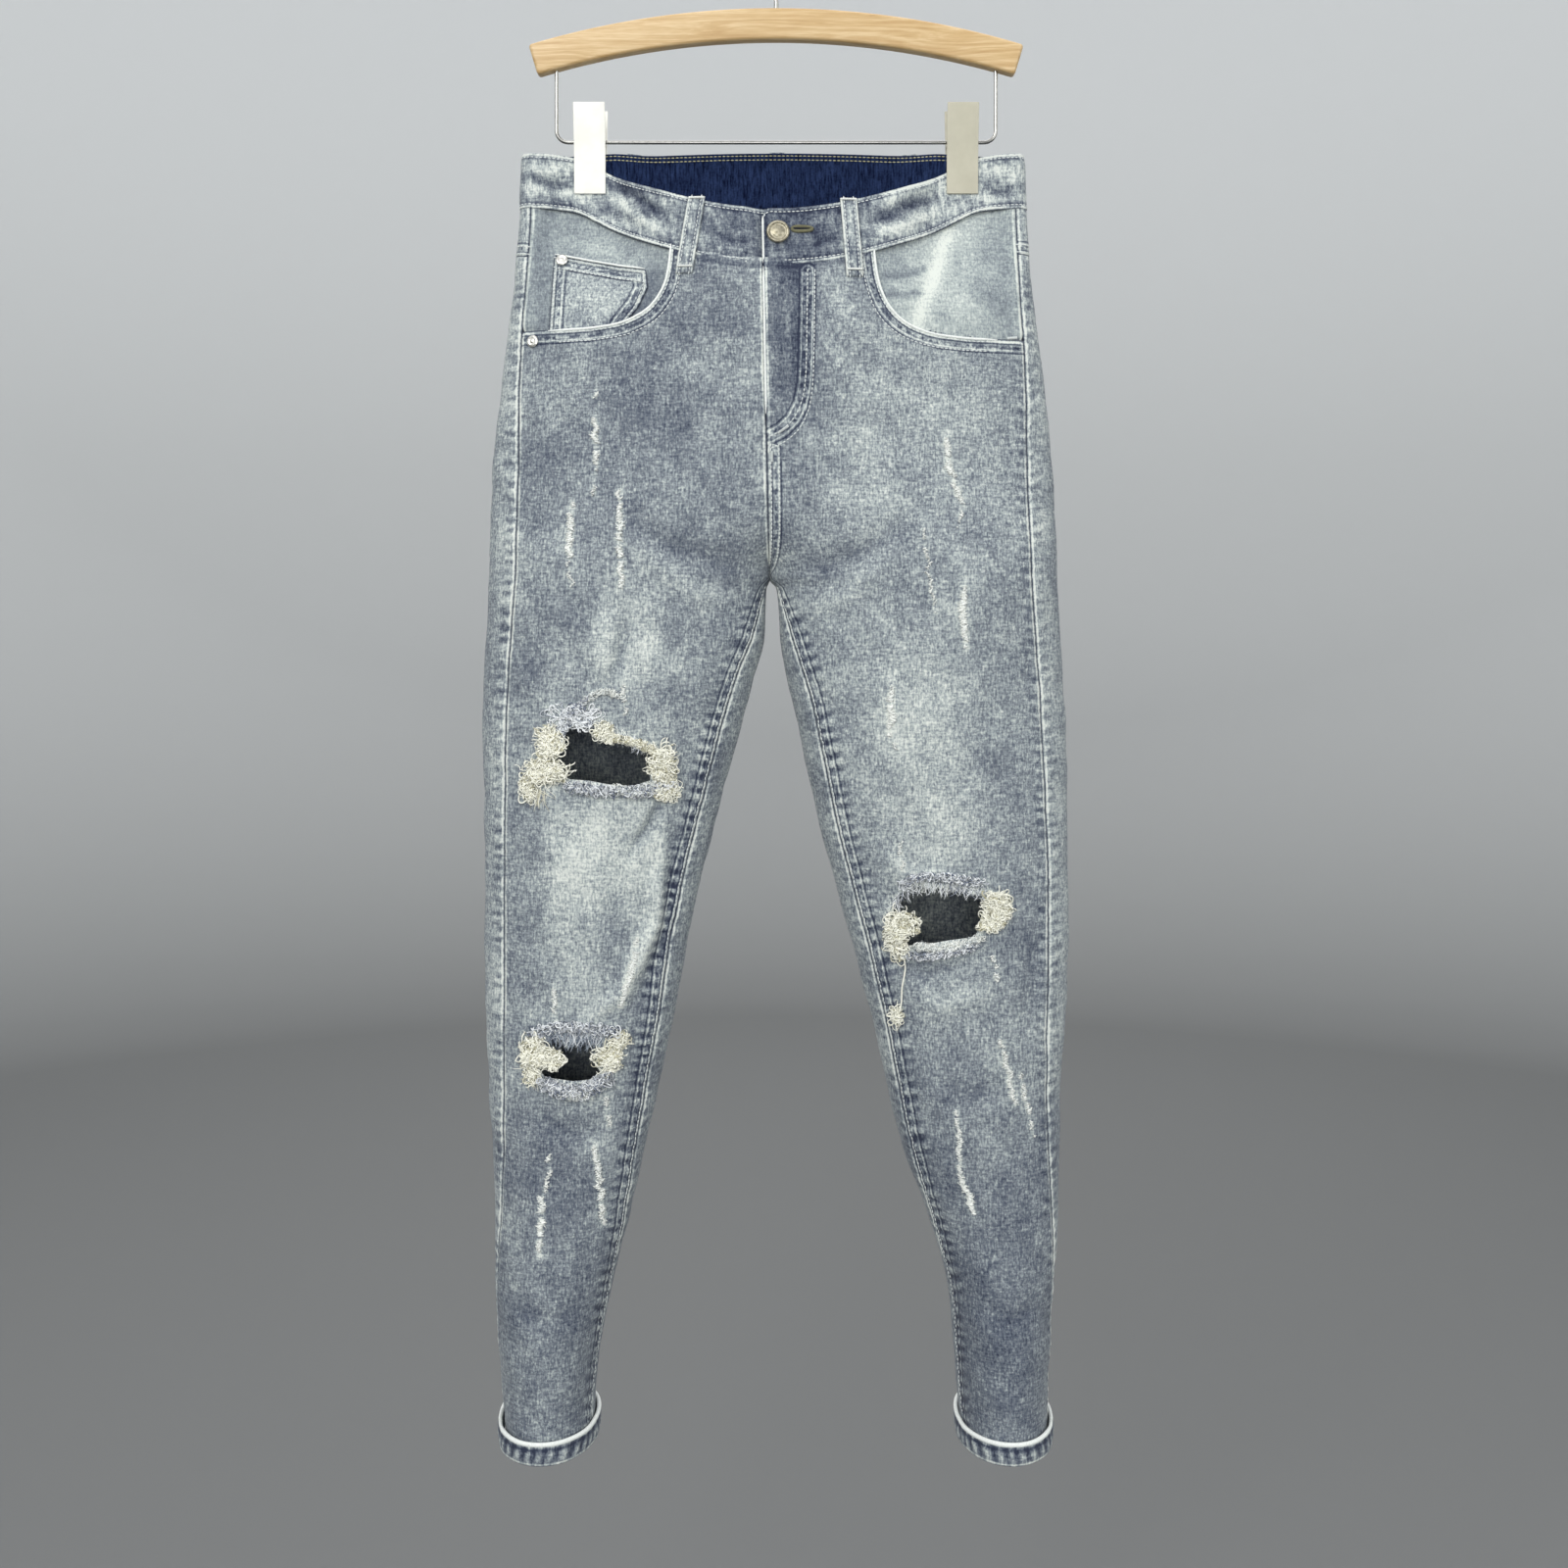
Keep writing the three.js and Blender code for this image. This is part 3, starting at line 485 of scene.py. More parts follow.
# Abrasions with loose white threads: side, line of (x, h), strength.
SLASHES = [
    (RIGHT, [(-134, 186), (-135, 190)], 0.5), (RIGHT, [(-134, 205), (-133, 240)], 0.9),
    (RIGHT, [(-133, 243), (-135, 263)], 0.35), (RIGHT, [(-151, 268), (-152, 309)], 1.0),
    (RIGHT, [(-152, 312), (-151, 331)], 0.35), (RIGHT, [(-115, 258), (-114, 331)], 0.9),
    (RIGHT, [(-103, 590), (-109, 616), (-115, 641)], 0.8),
    (RIGHT, [(-163.6, 624), (-163, 652)], 0.5), (RIGHT, [(-126, 709), (-123, 731)], 0.5),
    (RIGHT, [(-134, 745), (-131, 778), (-129, 804)], 0.8),
    (RIGHT, [(-167, 750), (-171, 778)], 0.5), (RIGHT, [(-173, 781), (-174.5, 825)], 1.0),
    (RIGHT, [(-112, 402), (-111, 424)], 0.5),
    (LEFT, [(126, 220), (128, 240), (137, 269)], 0.9), (LEFT, [(137, 269), (134.5, 287)], 0.3),
    (LEFT, [(108, 286), (116, 349)], 0.3), (LEFT, [(137.4, 329), (137, 356), (140, 375)], 1.0),
    (LEFT, [(87, 393), (85, 407)], 0.4), (LEFT, [(85, 407), (84, 440)], 1.0),
    (LEFT, [(84, 440), (92, 452)], 0.4), (LEFT, [(92, 514), (93, 538)], 0.4),
    (LEFT, [(166.5, 665), (177, 713)], 0.7), (LEFT, [(182, 691), (191, 739)], 0.6),
    (LEFT, [(134.5, 717), (137.4, 767)], 0.6), (LEFT, [(137.4, 767), (147, 796)], 1.0),
    (LEFT, [(161, 601), (163, 622)], 0.6),
]
# Bleached and darker places of the fronts, the darker ones partly painted shade: side, x, h,
# half width, half height, amount.
FADES_AND_SHADES = [
    (RIGHT, -116, 362, 24, 46, 0.20), (RIGHT, -104, 388, 14, 24, 0.10),
    (RIGHT, -127, 530, 40, 66, 0.33), (LEFT, 11, 150, 17, 74, -0.32),
    (LEFT, 14, 98, 14, 14, -0.20), (LEFT, 9, 142, 3.2, 38, 0.24), (LEFT, 16, 196, 9, 10, 0.16),
    (RIGHT, -95, 190, 46, 50, -0.10), (RIGHT, -150, 260, 50, 60, -0.08),
    (RIGHT, -92, 520, 12, 40, 0.14),
    (RIGHT, -120, 478, 46, 12, -0.04), (RIGHT, -176, 520, 10, 60, -0.12),
    (RIGHT, -150, 205, 34, 50, 0.02), (RIGHT, -60, 130, 46, 40, -0.08),
    (RIGHT, -175, 400, 26, 50, -0.06), (RIGHT, -40, 300, 40, 60, -0.05),
    (RIGHT, -150, 640, 26, 24, 0.02), (RIGHT, -172, 760, 20, 50, -0.08),
    (RIGHT, -128, 700, 14, 50, 0.05), (RIGHT, -70, 560, 10, 70, -0.10),
    (RIGHT, -105, 690, 10, 60, -0.08),
    (LEFT, 100, 190, 60, 40, 0.08), (LEFT, 150, 170, 26, 40, 0.06),
    (LEFT, 60, 255, 40, 50, 0.08), (LEFT, 140, 300, 30, 60, 0.06),
    (LEFT, 100, 440, 44, 80, 0.21), (LEFT, 120, 520, 34, 40, 0.10),
    (LEFT, 130, 640, 24, 40, 0.12), (LEFT, 96, 660, 12, 46, -0.10),
    (LEFT, 16, 150, 14, 60, -0.08), (LEFT, 175, 700, 16, 60, -0.06),
    (LEFT, 128, 740, 20, 60, -0.04), (LEFT, 150, 880, 40, 70, -0.10),
]


def faded(side, panel, x, h, from_outseam, from_inseam):
    """How light the cloth is, from 0, darkest, to 1, bleached: its fading and wear, darker low
    on the legs, and painted shade in the crease troughs and in some darker places of the fronts.
    """
    total = 0.555 + 0.045 * waves(x, h, 71 + side, 80, 1.5)
    total = total + 0.035 * waves(x, h, 75 + side, 22, 1.6)
    total = total - 0.10 * ease((h - 680) / 120)
    if panel == "front":
        for on, *place, amount in FADES_AND_SHADES:
            if on == side:
                total = total + amount * patch(x, h, *place)
        # Crease troughs are painted dark as shade; the ridges are lighter, partly as rubbed wear and
        # partly as painted light.
        total = total + 0.085 * np.clip(creased(side, x, h, CREASES), -2.8, 1.8)
    else:
        seat, knee = patch(np.abs(x), h, 95, 230, 60, 90), patch(np.abs(x), h, 120, 560, 45, 90)
        total = total + 0.10 * seat + 0.05 * knee
        total = total + 0.12 * (1 - ease((from_outseam - 10) / 20))
    roped_here = roped(side, panel, h, from_outseam, from_inseam)
    return total + np.where(roped_here < 0, 0.46, 0.20) * roped_here


def slashed(side, x, h):
    """How bleached and abraded the cloth is along the slashes."""
    total = np.zeros(np.broadcast(x, h).shape)
    for on, points, strength in SLASHES:
        if on == side:
            d, _ = to_line(x, h, points)
            total = np.maximum(total, strength * hill(d, 2.3))
    return total


# ---- meshes -------------------------------------------------------------------------------


def add_object(name, mesh):
    piece = bpy.data.objects.new(name, mesh)
    bpy.context.scene.collection.objects.link(piece)
    return piece


def make_mesh(name, points, faces):
    """A smooth mesh from points in millimetres."""
    mesh = bpy.data.meshes.new(name)
    mesh.from_pydata((np.asarray(points) * MM).tolist(), [], [list(f) for f in faces])
    mesh.validate()
    mesh.shade_smooth()
    return mesh


def write_attribute(mesh, name, values):
    layer = mesh.attributes.new(name, "FLOAT", "POINT")
    layer.data.foreach_set("value", np.ascontiguousarray(values, np.float32).ravel())


def write_marks(mesh, fade, edge, worn=0.0):
    """The marks of a piece that has no torn edge and no furrow of stitches."""
    marks = {"fade": fade, "edge": edge, "worn": worn, "frayed": FAR, "sewn": FAR}
    for name, values in marks.items():
        write_attribute(mesh, name, np.broadcast_to(values, fade.shape))


def write_uv(mesh, across, down):
    """A UV map in units of 10 mm, from two numbers for each vertex."""
    uv = np.stack([np.broadcast_to(across, down.shape).ravel(), down.ravel()], axis=1)
    layer = mesh.uv_layers.new(name="cloth")
    corner = np.zeros(len(mesh.loops), np.int32)
    mesh.loops.foreach_get("vertex_index", corner)
    layer.data.foreach_set("uv", np.ascontiguousarray(uv[corner] * 0.1, np.float32).ravel())


def add_thread(mesh, material_name):
    """Adds a piece that stands for no node of the frame, such as thread."""
    piece = add_object(mesh.name, mesh)
    piece.data.materials.append(material(material_name))
    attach(piece, "root")


def finish_cloth(piece, materials, nodes, flat, area=None):
    for name in materials:
        piece.data.materials.append(material(name))
    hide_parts(*nodes)
    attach(piece, "root")


def ring_faces(rings, corners, looped=False):
    """Faces between rings of points, which are closed at both ends or joined end to end."""
    here = np.arange(rings if looped else rings - 1)[:, None] * corners
    there = (here + corners) % (rings * corners)
    corner = np.arange(corners)[None]
    after = (corner + 1) % corners
    quads = np.stack([here + corner, here + after, there + after, there + corner], axis=-1)
    faces = quads.reshape(-1, 4).tolist()
    if not looped:
        last = (rings - 1) * corners
        faces += [list(range(corners))[::-1], list(range(last, last + corners))]
    return faces


def grid_faces(rows, columns, turned, keep):
    a = np.arange(rows - 1)[:, None] * columns + np.arange(columns - 1)
    quads = np.stack([a, a + 1, a + columns + 1, a + columns], axis=-1)
    return (quads[..., ::-1] if turned else quads)[keep]


def take(piece):
    """Selects a piece and nothing else."""
    bpy.ops.object.select_all(action="DESELECT")
    bpy.context.view_layer.objects.active = piece
    piece.select_set(True)


def apply_modifier(piece, kind, **settings):
    modifier = piece.modifiers.new(kind.title(), kind)
    for name, value in settings.items():
        setattr(modifier, name, value)
    take(piece)
    bpy.ops.object.modifier_apply(modifier=modifier.name)


CELL = 2.4  # spacing of the points of the front panels


def panel_sheet(name, side, panel, u, h, out, thickness, cut=None, fade=0.0, edge_of=None,
                sewn_of=None):
    """A sheet on a panel over a grid of u and h, with the marks that its material reads.

    cut gives the distance to what is cut away, below 0 inside it, for arrays x and h. The
    fading and painted shade given are added to the usual ones, and out is how far the sheet
    lies outside the skin. Each may be a function: the fading of x and h, and out of the
    distance from the side seam and h.
    """
    x = skin(side, panel, u, h)[0][..., 0]
    keep = np.ones((u.shape[0] - 1, u.shape[1] - 1), bool)
    if cut is not None:
        # Points near the cut are moved onto it, along the slope of the distance.
        away, step = cut(x, h), 0.5
        gx = (cut(x + step, h) - cut(x - step, h)) / (2 * step)
        gh = (cut(x, h + step) - cut(x, h - step)) / (2 * step)
        size = np.maximum(np.hypot(gx, gh), 0.3)
        near = np.abs(away) < CELL * 0.62
        x = np.where(near, x - away * gx / size**2, x)
        h = np.where(near, h - away * gh / size**2, h)
        u = np.where(near, u_at(side, panel, x, h), u)
        away = np.where(near, 0.0, away)
        middle = (away[:-1, :-1] + away[1:, :-1] + away[:-1, 1:] + away[1:, 1:]) / 4
        keep = middle > 0.02
    length = skin(side, panel, u, h)[1]
    points, _ = surface(side, panel, u, h, out(u * length, h) if callable(out) else out)
    turned = (side if panel == "front" else -side) < 0
    faces = grid_faces(*u.shape, turned, keep)
    edge = np.minimum(u, 1 - u) * length if edge_of is None else edge_of(x, h, u, length)
    marks = {
        "fade": faded(side, panel, x, h, u * length, (1 - u) * length) + (
            fade(x, h) if callable(fade) else fade),
        "edge": edge,
        "worn": slashed(side, x, h) if panel == "front" else 0 * x,
        "frayed": to_rips(side, x, h) if panel == "front" else FAR + 0 * x,
        "sewn": FAR + 0 * x if sewn_of is None else sewn_of(x, h, u, length),
    }
    if panel == "back":
        marks["unlit"] = unlit(side, h)
    used, faces = np.unique(faces, return_inverse=True)
    mesh = make_mesh(name, points.reshape(-1, 3)[used], faces.reshape(-1, 4))
    write_uv(mesh, (u * length).ravel()[used], h.ravel()[used])
    for key, values in marks.items():
        write_attribute(mesh, key, values.ravel()[used])
    piece = add_object(name, mesh)
    # The second material, if any, comes inside.
    apply_modifier(
        piece, "SOLIDIFY", thickness=thickness * MM, offset=0.0, material_offset=1,
        use_even_offset=True, thickness_clamp=1.0)
    return piece


def unlit(side, h):
    """Painted shade inside a back panel, from 0 to 1: the hems close off the light low down."""
    if side == RIGHT:
        return ease((h - 560) / 80)
    return 0.62 + 0.3 * ease((h - 620) / 60)


def tubes(name, paths, radius, sides=3, tone=None):
    """Round threads along paths of equally many points, as one mesh. Millimetres.

    tone, from 0 to 1, is how light each thread is.
    """
    paths = np.asarray(paths, float)
    count, steps = paths.shape[:2]
    radius = np.broadcast_to(np.asarray(radius, float).reshape(-1, 1), (count, 1))
    tangent = unit(np.gradient(paths, axis=1))
    helper = unit(tangent[:, :1] + np.array([0.31, 0.77, -0.53]))
    across = unit(np.cross(tangent, np.broadcast_to(helper, tangent.shape)))
    other = np.cross(tangent, across)
    taper = np.minimum(1, 0.35 + 2.5 * np.sin(np.pi * np.linspace(0, 1, steps)))[None, :]
    size = (radius * taper)[..., None, None]
    angle = np.linspace(0, 2 * np.pi, sides, endpoint=False)
    offset = across[:, :, None] * np.cos(angle)[:, None] + other[:, :, None] * np.sin(angle)[:, None]
    points = (paths[:, :, None] + size * offset).reshape(-1, 3)
    base = np.arange(count)[:, None, None] * steps * sides
    a = base + np.arange(steps - 1)[None, :, None] * sides + np.arange(sides)[None, None, :]
    b = base + np.arange(steps - 1)[None, :, None] * sides + (np.arange(sides) + 1)[None, None] % sides
    quads = np.stack([a, b, b + sides, a + sides], axis=-1).reshape(-1, 4)
    ends = np.arange(count)[:, None] * steps * sides + np.arange(sides)[None]
    faces = quads.tolist() + ends[:, ::-1].tolist() + (ends + (steps - 1) * sides).tolist()
    mesh = make_mesh(name, points, faces)
    tone = np.full(count, 0.7) if tone is None else tone
    write_attribute(mesh, "tone", np.repeat(tone, steps * sides))
    return mesh


def resample(points, pitch, *others):
    """Points of a line spaced evenly, with other values carried along."""
    along = walked(points)
    wanted = np.linspace(0, along[-1], max(2, int(round(along[-1] / pitch)) + 1))
    return [read_off(wanted, along, values) for values in (points, *others)]


STITCH_PITCH, STITCH_LENGTH, STITCH_WIDTH, STITCH_HEIGHT = 3.3, 2.6, 1.0, 0.8
# The three rings of points of one stitch: place along it, and how full it is there.
STITCH_RINGS = ((-0.5, 0.35), (0.0, 1.0), (0.5, 0.35))


def stitches(name, lines, material_name="seam_thread"):
    """Rows of stitches along lines of points with normals, as one mesh."""
    all_points, all_faces, total = [], [], 0
    sides = 5
    angle = np.linspace(0, 2 * np.pi, sides, endpoint=False)
    for points, normals in lines:
        points, normals = resample(points, STITCH_PITCH, normals)
        tangent = unit(np.gradient(points, axis=0))
        normals = unit(normals - tangent * (normals * tangent).sum(1, keepdims=True))
        across = np.cross(tangent, normals)
        rings = []
        for place, swell in STITCH_RINGS:
            middle = points + tangent * place * STITCH_LENGTH
            round_it = (
                across[:, None] * (np.cos(angle) * STITCH_WIDTH / 2 * swell)[None, :, None]
                + normals[:, None] * (np.sin(angle) * STITCH_HEIGHT / 2 * swell)[None, :, None]
            )
            rings.append(middle[:, None] + round_it)
        block = np.stack(rings, axis=1)  # stitch, ring, corner
        count = len(points)
        base = total + np.arange(count)[:, None, None] * 3 * sides
        ringed = np.arange(2)[None, :, None] * sides
        corner = np.arange(sides)[None, None, :]
        a, b = base + ringed + corner, base + ringed + (corner + 1) % sides
        all_faces += np.stack([a, a + sides, b + sides, b], axis=-1).reshape(-1, 4).tolist()
        ends = total + np.arange(count)[:, None] * 3 * sides + np.arange(sides)[None]
        all_faces += ends.tolist() + (ends + 2 * sides)[:, ::-1].tolist()
        all_points.append(block.reshape(-1, 3))
        total += count * 3 * sides
    mesh = make_mesh(name, np.concatenate(all_points), all_faces)
    write_attribute(mesh, "tone", np.full(len(mesh.vertices), 0.8))
    add_thread(mesh, material_name)


def bead(name, points, radius, material_name="worn_edge"):
    """A rounded folded edge along a line of points."""
    add_thread(tubes(name, points[None], radius, 8), material_name)


# ---- materials ----------------------------------------------------------------------------


def srgb(*colour):
    """A colour from 0 to 255 as a shader's numbers."""
    shares = [value / 255 for value in colour]
    return tuple(c / 12.92 if c <= 0.04045 else ((c + 0.055) / 1.055) ** 2.4 for c in shares)


def feed(tree, value, socket):
    if isinstance(value, bpy.types.NodeSocket):
        tree.links.new(value, socket)
    elif isinstance(value, tuple) and socket.type == "RGBA":
        socket.default_value = (*value[:3], 1.0)
    else:
        socket.default_value = value


def calc(tree, operation, *values):
    made = tree.nodes.new("ShaderNodeMath")
    made.operation = operation
    for value, socket in zip(values, made.inputs):
        feed(tree, value, socket)
    return made.outputs[0]


def stretched(tree, vector, factors):
    made = tree.nodes.new("ShaderNodeVectorMath")
    made.operation = "MULTIPLY"
    feed(tree, vector, made.inputs[0])
    made.inputs[1].default_value = factors
    return made.outputs[0]


def noise(tree, vector, scale=1.0, detail=2.0, roughness=0.55):
    made = tree.nodes.new("ShaderNodeTexNoise")
    feed(tree, vector, made.inputs["Vector"])
    made.inputs["Scale"].default_value = scale
    made.inputs["Detail"].default_value = detail
    made.inputs["Roughness"].default_value = roughness
    return made.outputs[0]


def mixed(tree, share, a, b, kind="MIX"):
    made = tree.nodes.new("ShaderNodeMix")
    made.data_type, made.blend_type = "RGBA", kind
    for value, key in ((share, "Factor_Float"), (a, "A_Color"), (b, "B_Color")):
        feed(tree, value, next(s for s in made.inputs if s.identifier == key))
    return next(s for s in made.outputs if s.identifier == "Result_Color")


def ramp(tree, factor, stops):
    made = tree.nodes.new("ShaderNodeValToRGB")
    elements = made.color_ramp.elements
    while len(elements) < len(stops):
        elements.new(0.5)
    for element, (position, colour) in zip(elements, stops):
        element.position = position
        element.color = (*colour[:3], 1.0)
    feed(tree, factor, made.inputs[0])
    return made.outputs[0]


def spread(tree, value, low, high, to_low=0.0, to_high=1.0):
    """A value carried smoothly from one range to another."""
    made = tree.nodes.new("ShaderNodeMapRange")
    made.interpolation_type = "SMOOTHSTEP"
    for number, key in zip((value, low, high, to_low, to_high), range(5)):
        feed(tree, number, made.inputs[key])
    return made.outputs[0]


def attribute(tree, name):
    made = tree.nodes.new("ShaderNodeAttribute")
    made.attribute_name = name
    return made.outputs["Fac"]


def around(tree, value, centre, width):
    """1 where a value is at centre, falling to 0 at width from it."""
    away = calc(tree, "ABSOLUTE", calc(tree, "SUBTRACT", value, centre))
    return spread(tree, away, width, 0.0)


def in_millimetres(tree):
    place = tree.nodes.new("ShaderNodeTexCoord")
    return stretched(tree, place.outputs["Object"], (1000.0, 1000.0, 1000.0))


DENIM_STOPS = [
    (0.0, (44, 51, 70)), (0.24, (84, 92, 106)), (0.42, (110, 117, 126)),
    (0.58, (139, 147, 152)), (0.76, (176, 184, 183)), (1.0, (221, 225, 218)),
]


TWILL = "Heathered twill"
TWILL_INPUTS = {
    "Fade": 0.5, "Edge": 20.0, "Worn": 0.0, "Frayed": FAR, "Sewn": FAR, "Contrast": 1.0,
}


def heathered_twill():
    """Colour and height of faded denim: fine upright streaks, specks, worn seams, and painted
    shade in the grooves of seams and the furrows of stitches.
    """
    group = bpy.data.node_groups.new(TWILL, "ShaderNodeTree")
    for key, default in TWILL_INPUTS.items():
        socket = group.interface.new_socket(key, in_out="INPUT", socket_type="NodeSocketFloat")
        socket.default_value = default
    for key, kind in (("Colour", "Color"), ("Height", "Float")):
        group.interface.new_socket(key, in_out="OUTPUT", socket_type=f"NodeSocket{kind}")
    given = group.nodes.new("NodeGroupInput").outputs
    made = group.nodes.new("NodeGroupOutput").inputs
    place = in_millimetres(group)
    streak = noise(group, stretched(group, place, (0.75, 0.75, 0.16)), detail=2.5)
    speck = noise(group, stretched(group, place, (0.62, 0.62, 0.46)), detail=3.0, roughness=0.75)
    slub = noise(group, stretched(group, place, (0.14, 0.14, 0.7)), detail=2.5)
    mottle = noise(group, place, scale=0.03, detail=3.5, roughness=0.62)
    grain = [(streak, 0.8), (speck, 1.2), (slub, 0.6), (mottle, 0.46)]
    tone = given["Fade"]
    for value, amount in grain:
        swing = calc(group, "MULTIPLY", calc(group, "SUBTRACT", value, 0.5), amount)
        tone = calc(group, "MULTIPLY_ADD", swing, given["Contrast"], tone)
    # The pressed ridge beside a seam is rubbed pale, and its groove is painted dark as shade.
    rubbed = spread(group, mottle, 0.36, 0.6, 0.35, 1.0)
    ridge = calc(group, "MULTIPLY", around(group, given["Edge"], 2.0, 1.4), 0.50)
    tone = calc(group, "MULTIPLY_ADD", ridge, rubbed, tone)
    groove = calc(group, "MULTIPLY", around(group, given["Edge"], 0.0, 1.1), -0.62)
    tone = calc(group, "ADD", tone, groove)
    # Stitch rows lie in furrows painted dark as shade, with rubbed crests beside them.
    for at, width, amount in ((3.6, 0.9, -0.42), (10.4, 1.1, -0.46), (8.4, 0.9, 0.34)):
        line = calc(group, "MULTIPLY", around(group, given["Sewn"], at, width), amount)
        tone = calc(group, "ADD", tone, line)
    gathers = noise(group, place, scale=0.24, detail=2.0)
    gathered = calc(
        group, "MULTIPLY", around(group, given["Sewn"], 6.2, 2.2),
        spread(group, gathers, 0.42, 0.58, -0.34, 0.14))
    tone = calc(group, "ADD", tone, gathered)
    patchy = spread(group, slub, 0.38, 0.62, 0.5, 1.15)
    tone = calc(group, "MULTIPLY_ADD", calc(group, "MULTIPLY", given["Worn"], 0.36), patchy, tone)
    fuzz = calc(group, "MULTIPLY", spread(group, given["Frayed"], 9.0, 0.0), 0.42)
    tone = calc(group, "MULTIPLY_ADD", fuzz, spread(group, speck, 0.35, 0.62), tone)
    stops = [(at, srgb(*colour)) for at, colour in DENIM_STOPS]
    group.links.new(ramp(group, tone, stops), made["Colour"])
    woven = group.nodes.new("ShaderNodeUVMap")
    woven.uv_map = "cloth"
    split = group.nodes.new("ShaderNodeSeparateXYZ")
    group.links.new(woven.outputs[0], split.inputs[0])
    diagonal = calc(group, "ADD", split.outputs["X"], split.outputs["Y"])
    rib = calc(group, "SINE", calc(group, "MULTIPLY", diagonal, 60.0))
    height = calc(group, "MULTIPLY", rib, 0.10)
    for value, amount in ((streak, 0.55), (speck, 0.9)):
        height = calc(group, "ADD", height, calc(group, "MULTIPLY", value, amount))
    feed(group, height, made["Height"])
    return group


def new_material(name, **constants):
    """A material with its shader's constants set; an underscore stands for a space."""
    made = bpy.data.materials.new(name)
    made.use_nodes = True
    shader = made.node_tree.nodes["Principled BSDF"]
    for key, value in constants.items():
        shader.inputs[key.replace("_", " ")].default_value = value
    return made, made.node_tree, shader


def raise_surface(tree, shader, height, distance, strength=0.6):
    bump = tree.nodes.new("ShaderNodeBump")
    bump.inputs["Strength"].default_value = strength
    bump.inputs["Distance"].default_value = distance
    feed(tree, height, bump.inputs["Height"])
    tree.links.new(bump.outputs[0], shader.inputs["Normal"])


def faded_denim(name, tint=None, contrast=1.0):
    made, tree, shader = new_material(
        name, Roughness=0.88, Sheen_Weight=0.12, Sheen_Roughness=0.5, Specular_IOR_Level=0.25)
    twill = tree.nodes.new("ShaderNodeGroup")
    twill.node_tree = bpy.data.node_groups.get(TWILL) or heathered_twill()
    twill.inputs["Contrast"].default_value = contrast
    for mark in ("Fade", "Edge", "Worn", "Frayed", "Sewn"):
        feed(tree, attribute(tree, mark.lower()), twill.inputs[mark])
    colour = twill.outputs["Colour"]
    if tint:
        colour = mixed(tree, 1.0, colour, tint, "MULTIPLY")
    feed(tree, colour, shader.inputs["Base Color"])
    raise_surface(tree, shader, twill.outputs["Height"], 0.0006)
    return made


def inside_denim(name, dark, light, shaded=False):
    """The inside of the cloth: navy warp with the weft showing through."""
    made, tree, shader = new_material(name, Roughness=0.92, Specular_IOR_Level=0.0)
    place = in_millimetres(tree)
    streak = noise(tree, stretched(tree, place, (0.7, 0.7, 0.08)), detail=2.5)
    speck = noise(tree, place, scale=0.7, detail=2.0)
    tone = calc(tree, "ADD", calc(tree, "MULTIPLY", streak, 0.7), calc(tree, "MULTIPLY", speck, 0.3))
    colour = ramp(tree, tone, [(0.36, dark), (0.66, light)])
    if shaded:
        # Painted shade: where shaded, the colour goes almost black where no light reaches inside.
        colour = mixed(tree, attribute(tree, "unlit"), colour, (0.0008, 0.001, 0.0015))
    feed(tree, colour, shader.inputs["Base Color"])
    raise_surface(tree, shader, tone, 0.0005)
    return made


def thread_material(name, dark, light):
    """Loose cotton whose colour differs from thread to thread and drifts along each."""
    made, tree, shader = new_material(
        name, Roughness=0.9, Sheen_Weight=0.2, Sheen_Roughness=0.4, Specular_IOR_Level=0.2)
    fibre = noise(tree, in_millimetres(tree), scale=1.4, detail=2.0)
    drift = calc(tree, "MULTIPLY", calc(tree, "SUBTRACT", fibre, 0.5), 0.9)
    tone = calc(tree, "ADD", attribute(tree, "tone"), drift)
    feed(tree, ramp(tree, tone, [(0.0, dark), (0.72, light)]), shader.inputs["Base Color"])
    raise_surface(tree, shader, fibre, 0.0003)
    return made


def metal_material(name, colour, dark, roughness, tarnish=0.25):
    made, tree, shader = new_material(name, Metallic=1.0)
    place = in_millimetres(tree)
    cloud = noise(tree, place, scale=0.45, detail=4.0, roughness=0.65)
    fine = noise(tree, stretched(tree, place, (2.0, 2.0, 0.3)), detail=3.0)
    share = calc(tree, "MULTIPLY", spread(tree, cloud, 0.42, 0.68), tarnish)
    feed(tree, mixed(tree, share, colour, dark), shader.inputs["Base Color"])
    rough = calc(tree, "MULTIPLY_ADD", calc(tree, "SUBTRACT", fine, 0.5), 0.08, roughness)
    feed(tree, rough, shader.inputs["Roughness"])
    raise_surface(tree, shader, fine, 0.00005, 0.3)
    return made


def painted_plate(name, colour, dark):
    """A matt coated steel plate with a slightly uneven coat."""
    made, tree, shader = new_material(name, Coat_Weight=0.25, Coat_Roughness=0.2)
    place = in_millimetres(tree)
    cloud = noise(tree, place, scale=0.08, detail=3.0)
    fine = noise(tree, place, scale=1.6, detail=2.0)
    feed(tree, ramp(tree, cloud, [(0.35, dark), (0.6, colour)]), shader.inputs["Base Color"])
    feed(tree, calc(tree, "MULTIPLY_ADD", fine, 0.1, 0.36), shader.inputs["Roughness"])
    raise_surface(tree, shader, fine, 0.00004, 0.3)
    return made


WOOD_STOPS = [(0.34, (188, 152, 100)), (0.5, (204, 172, 122)), (0.64, (220, 193, 148))]


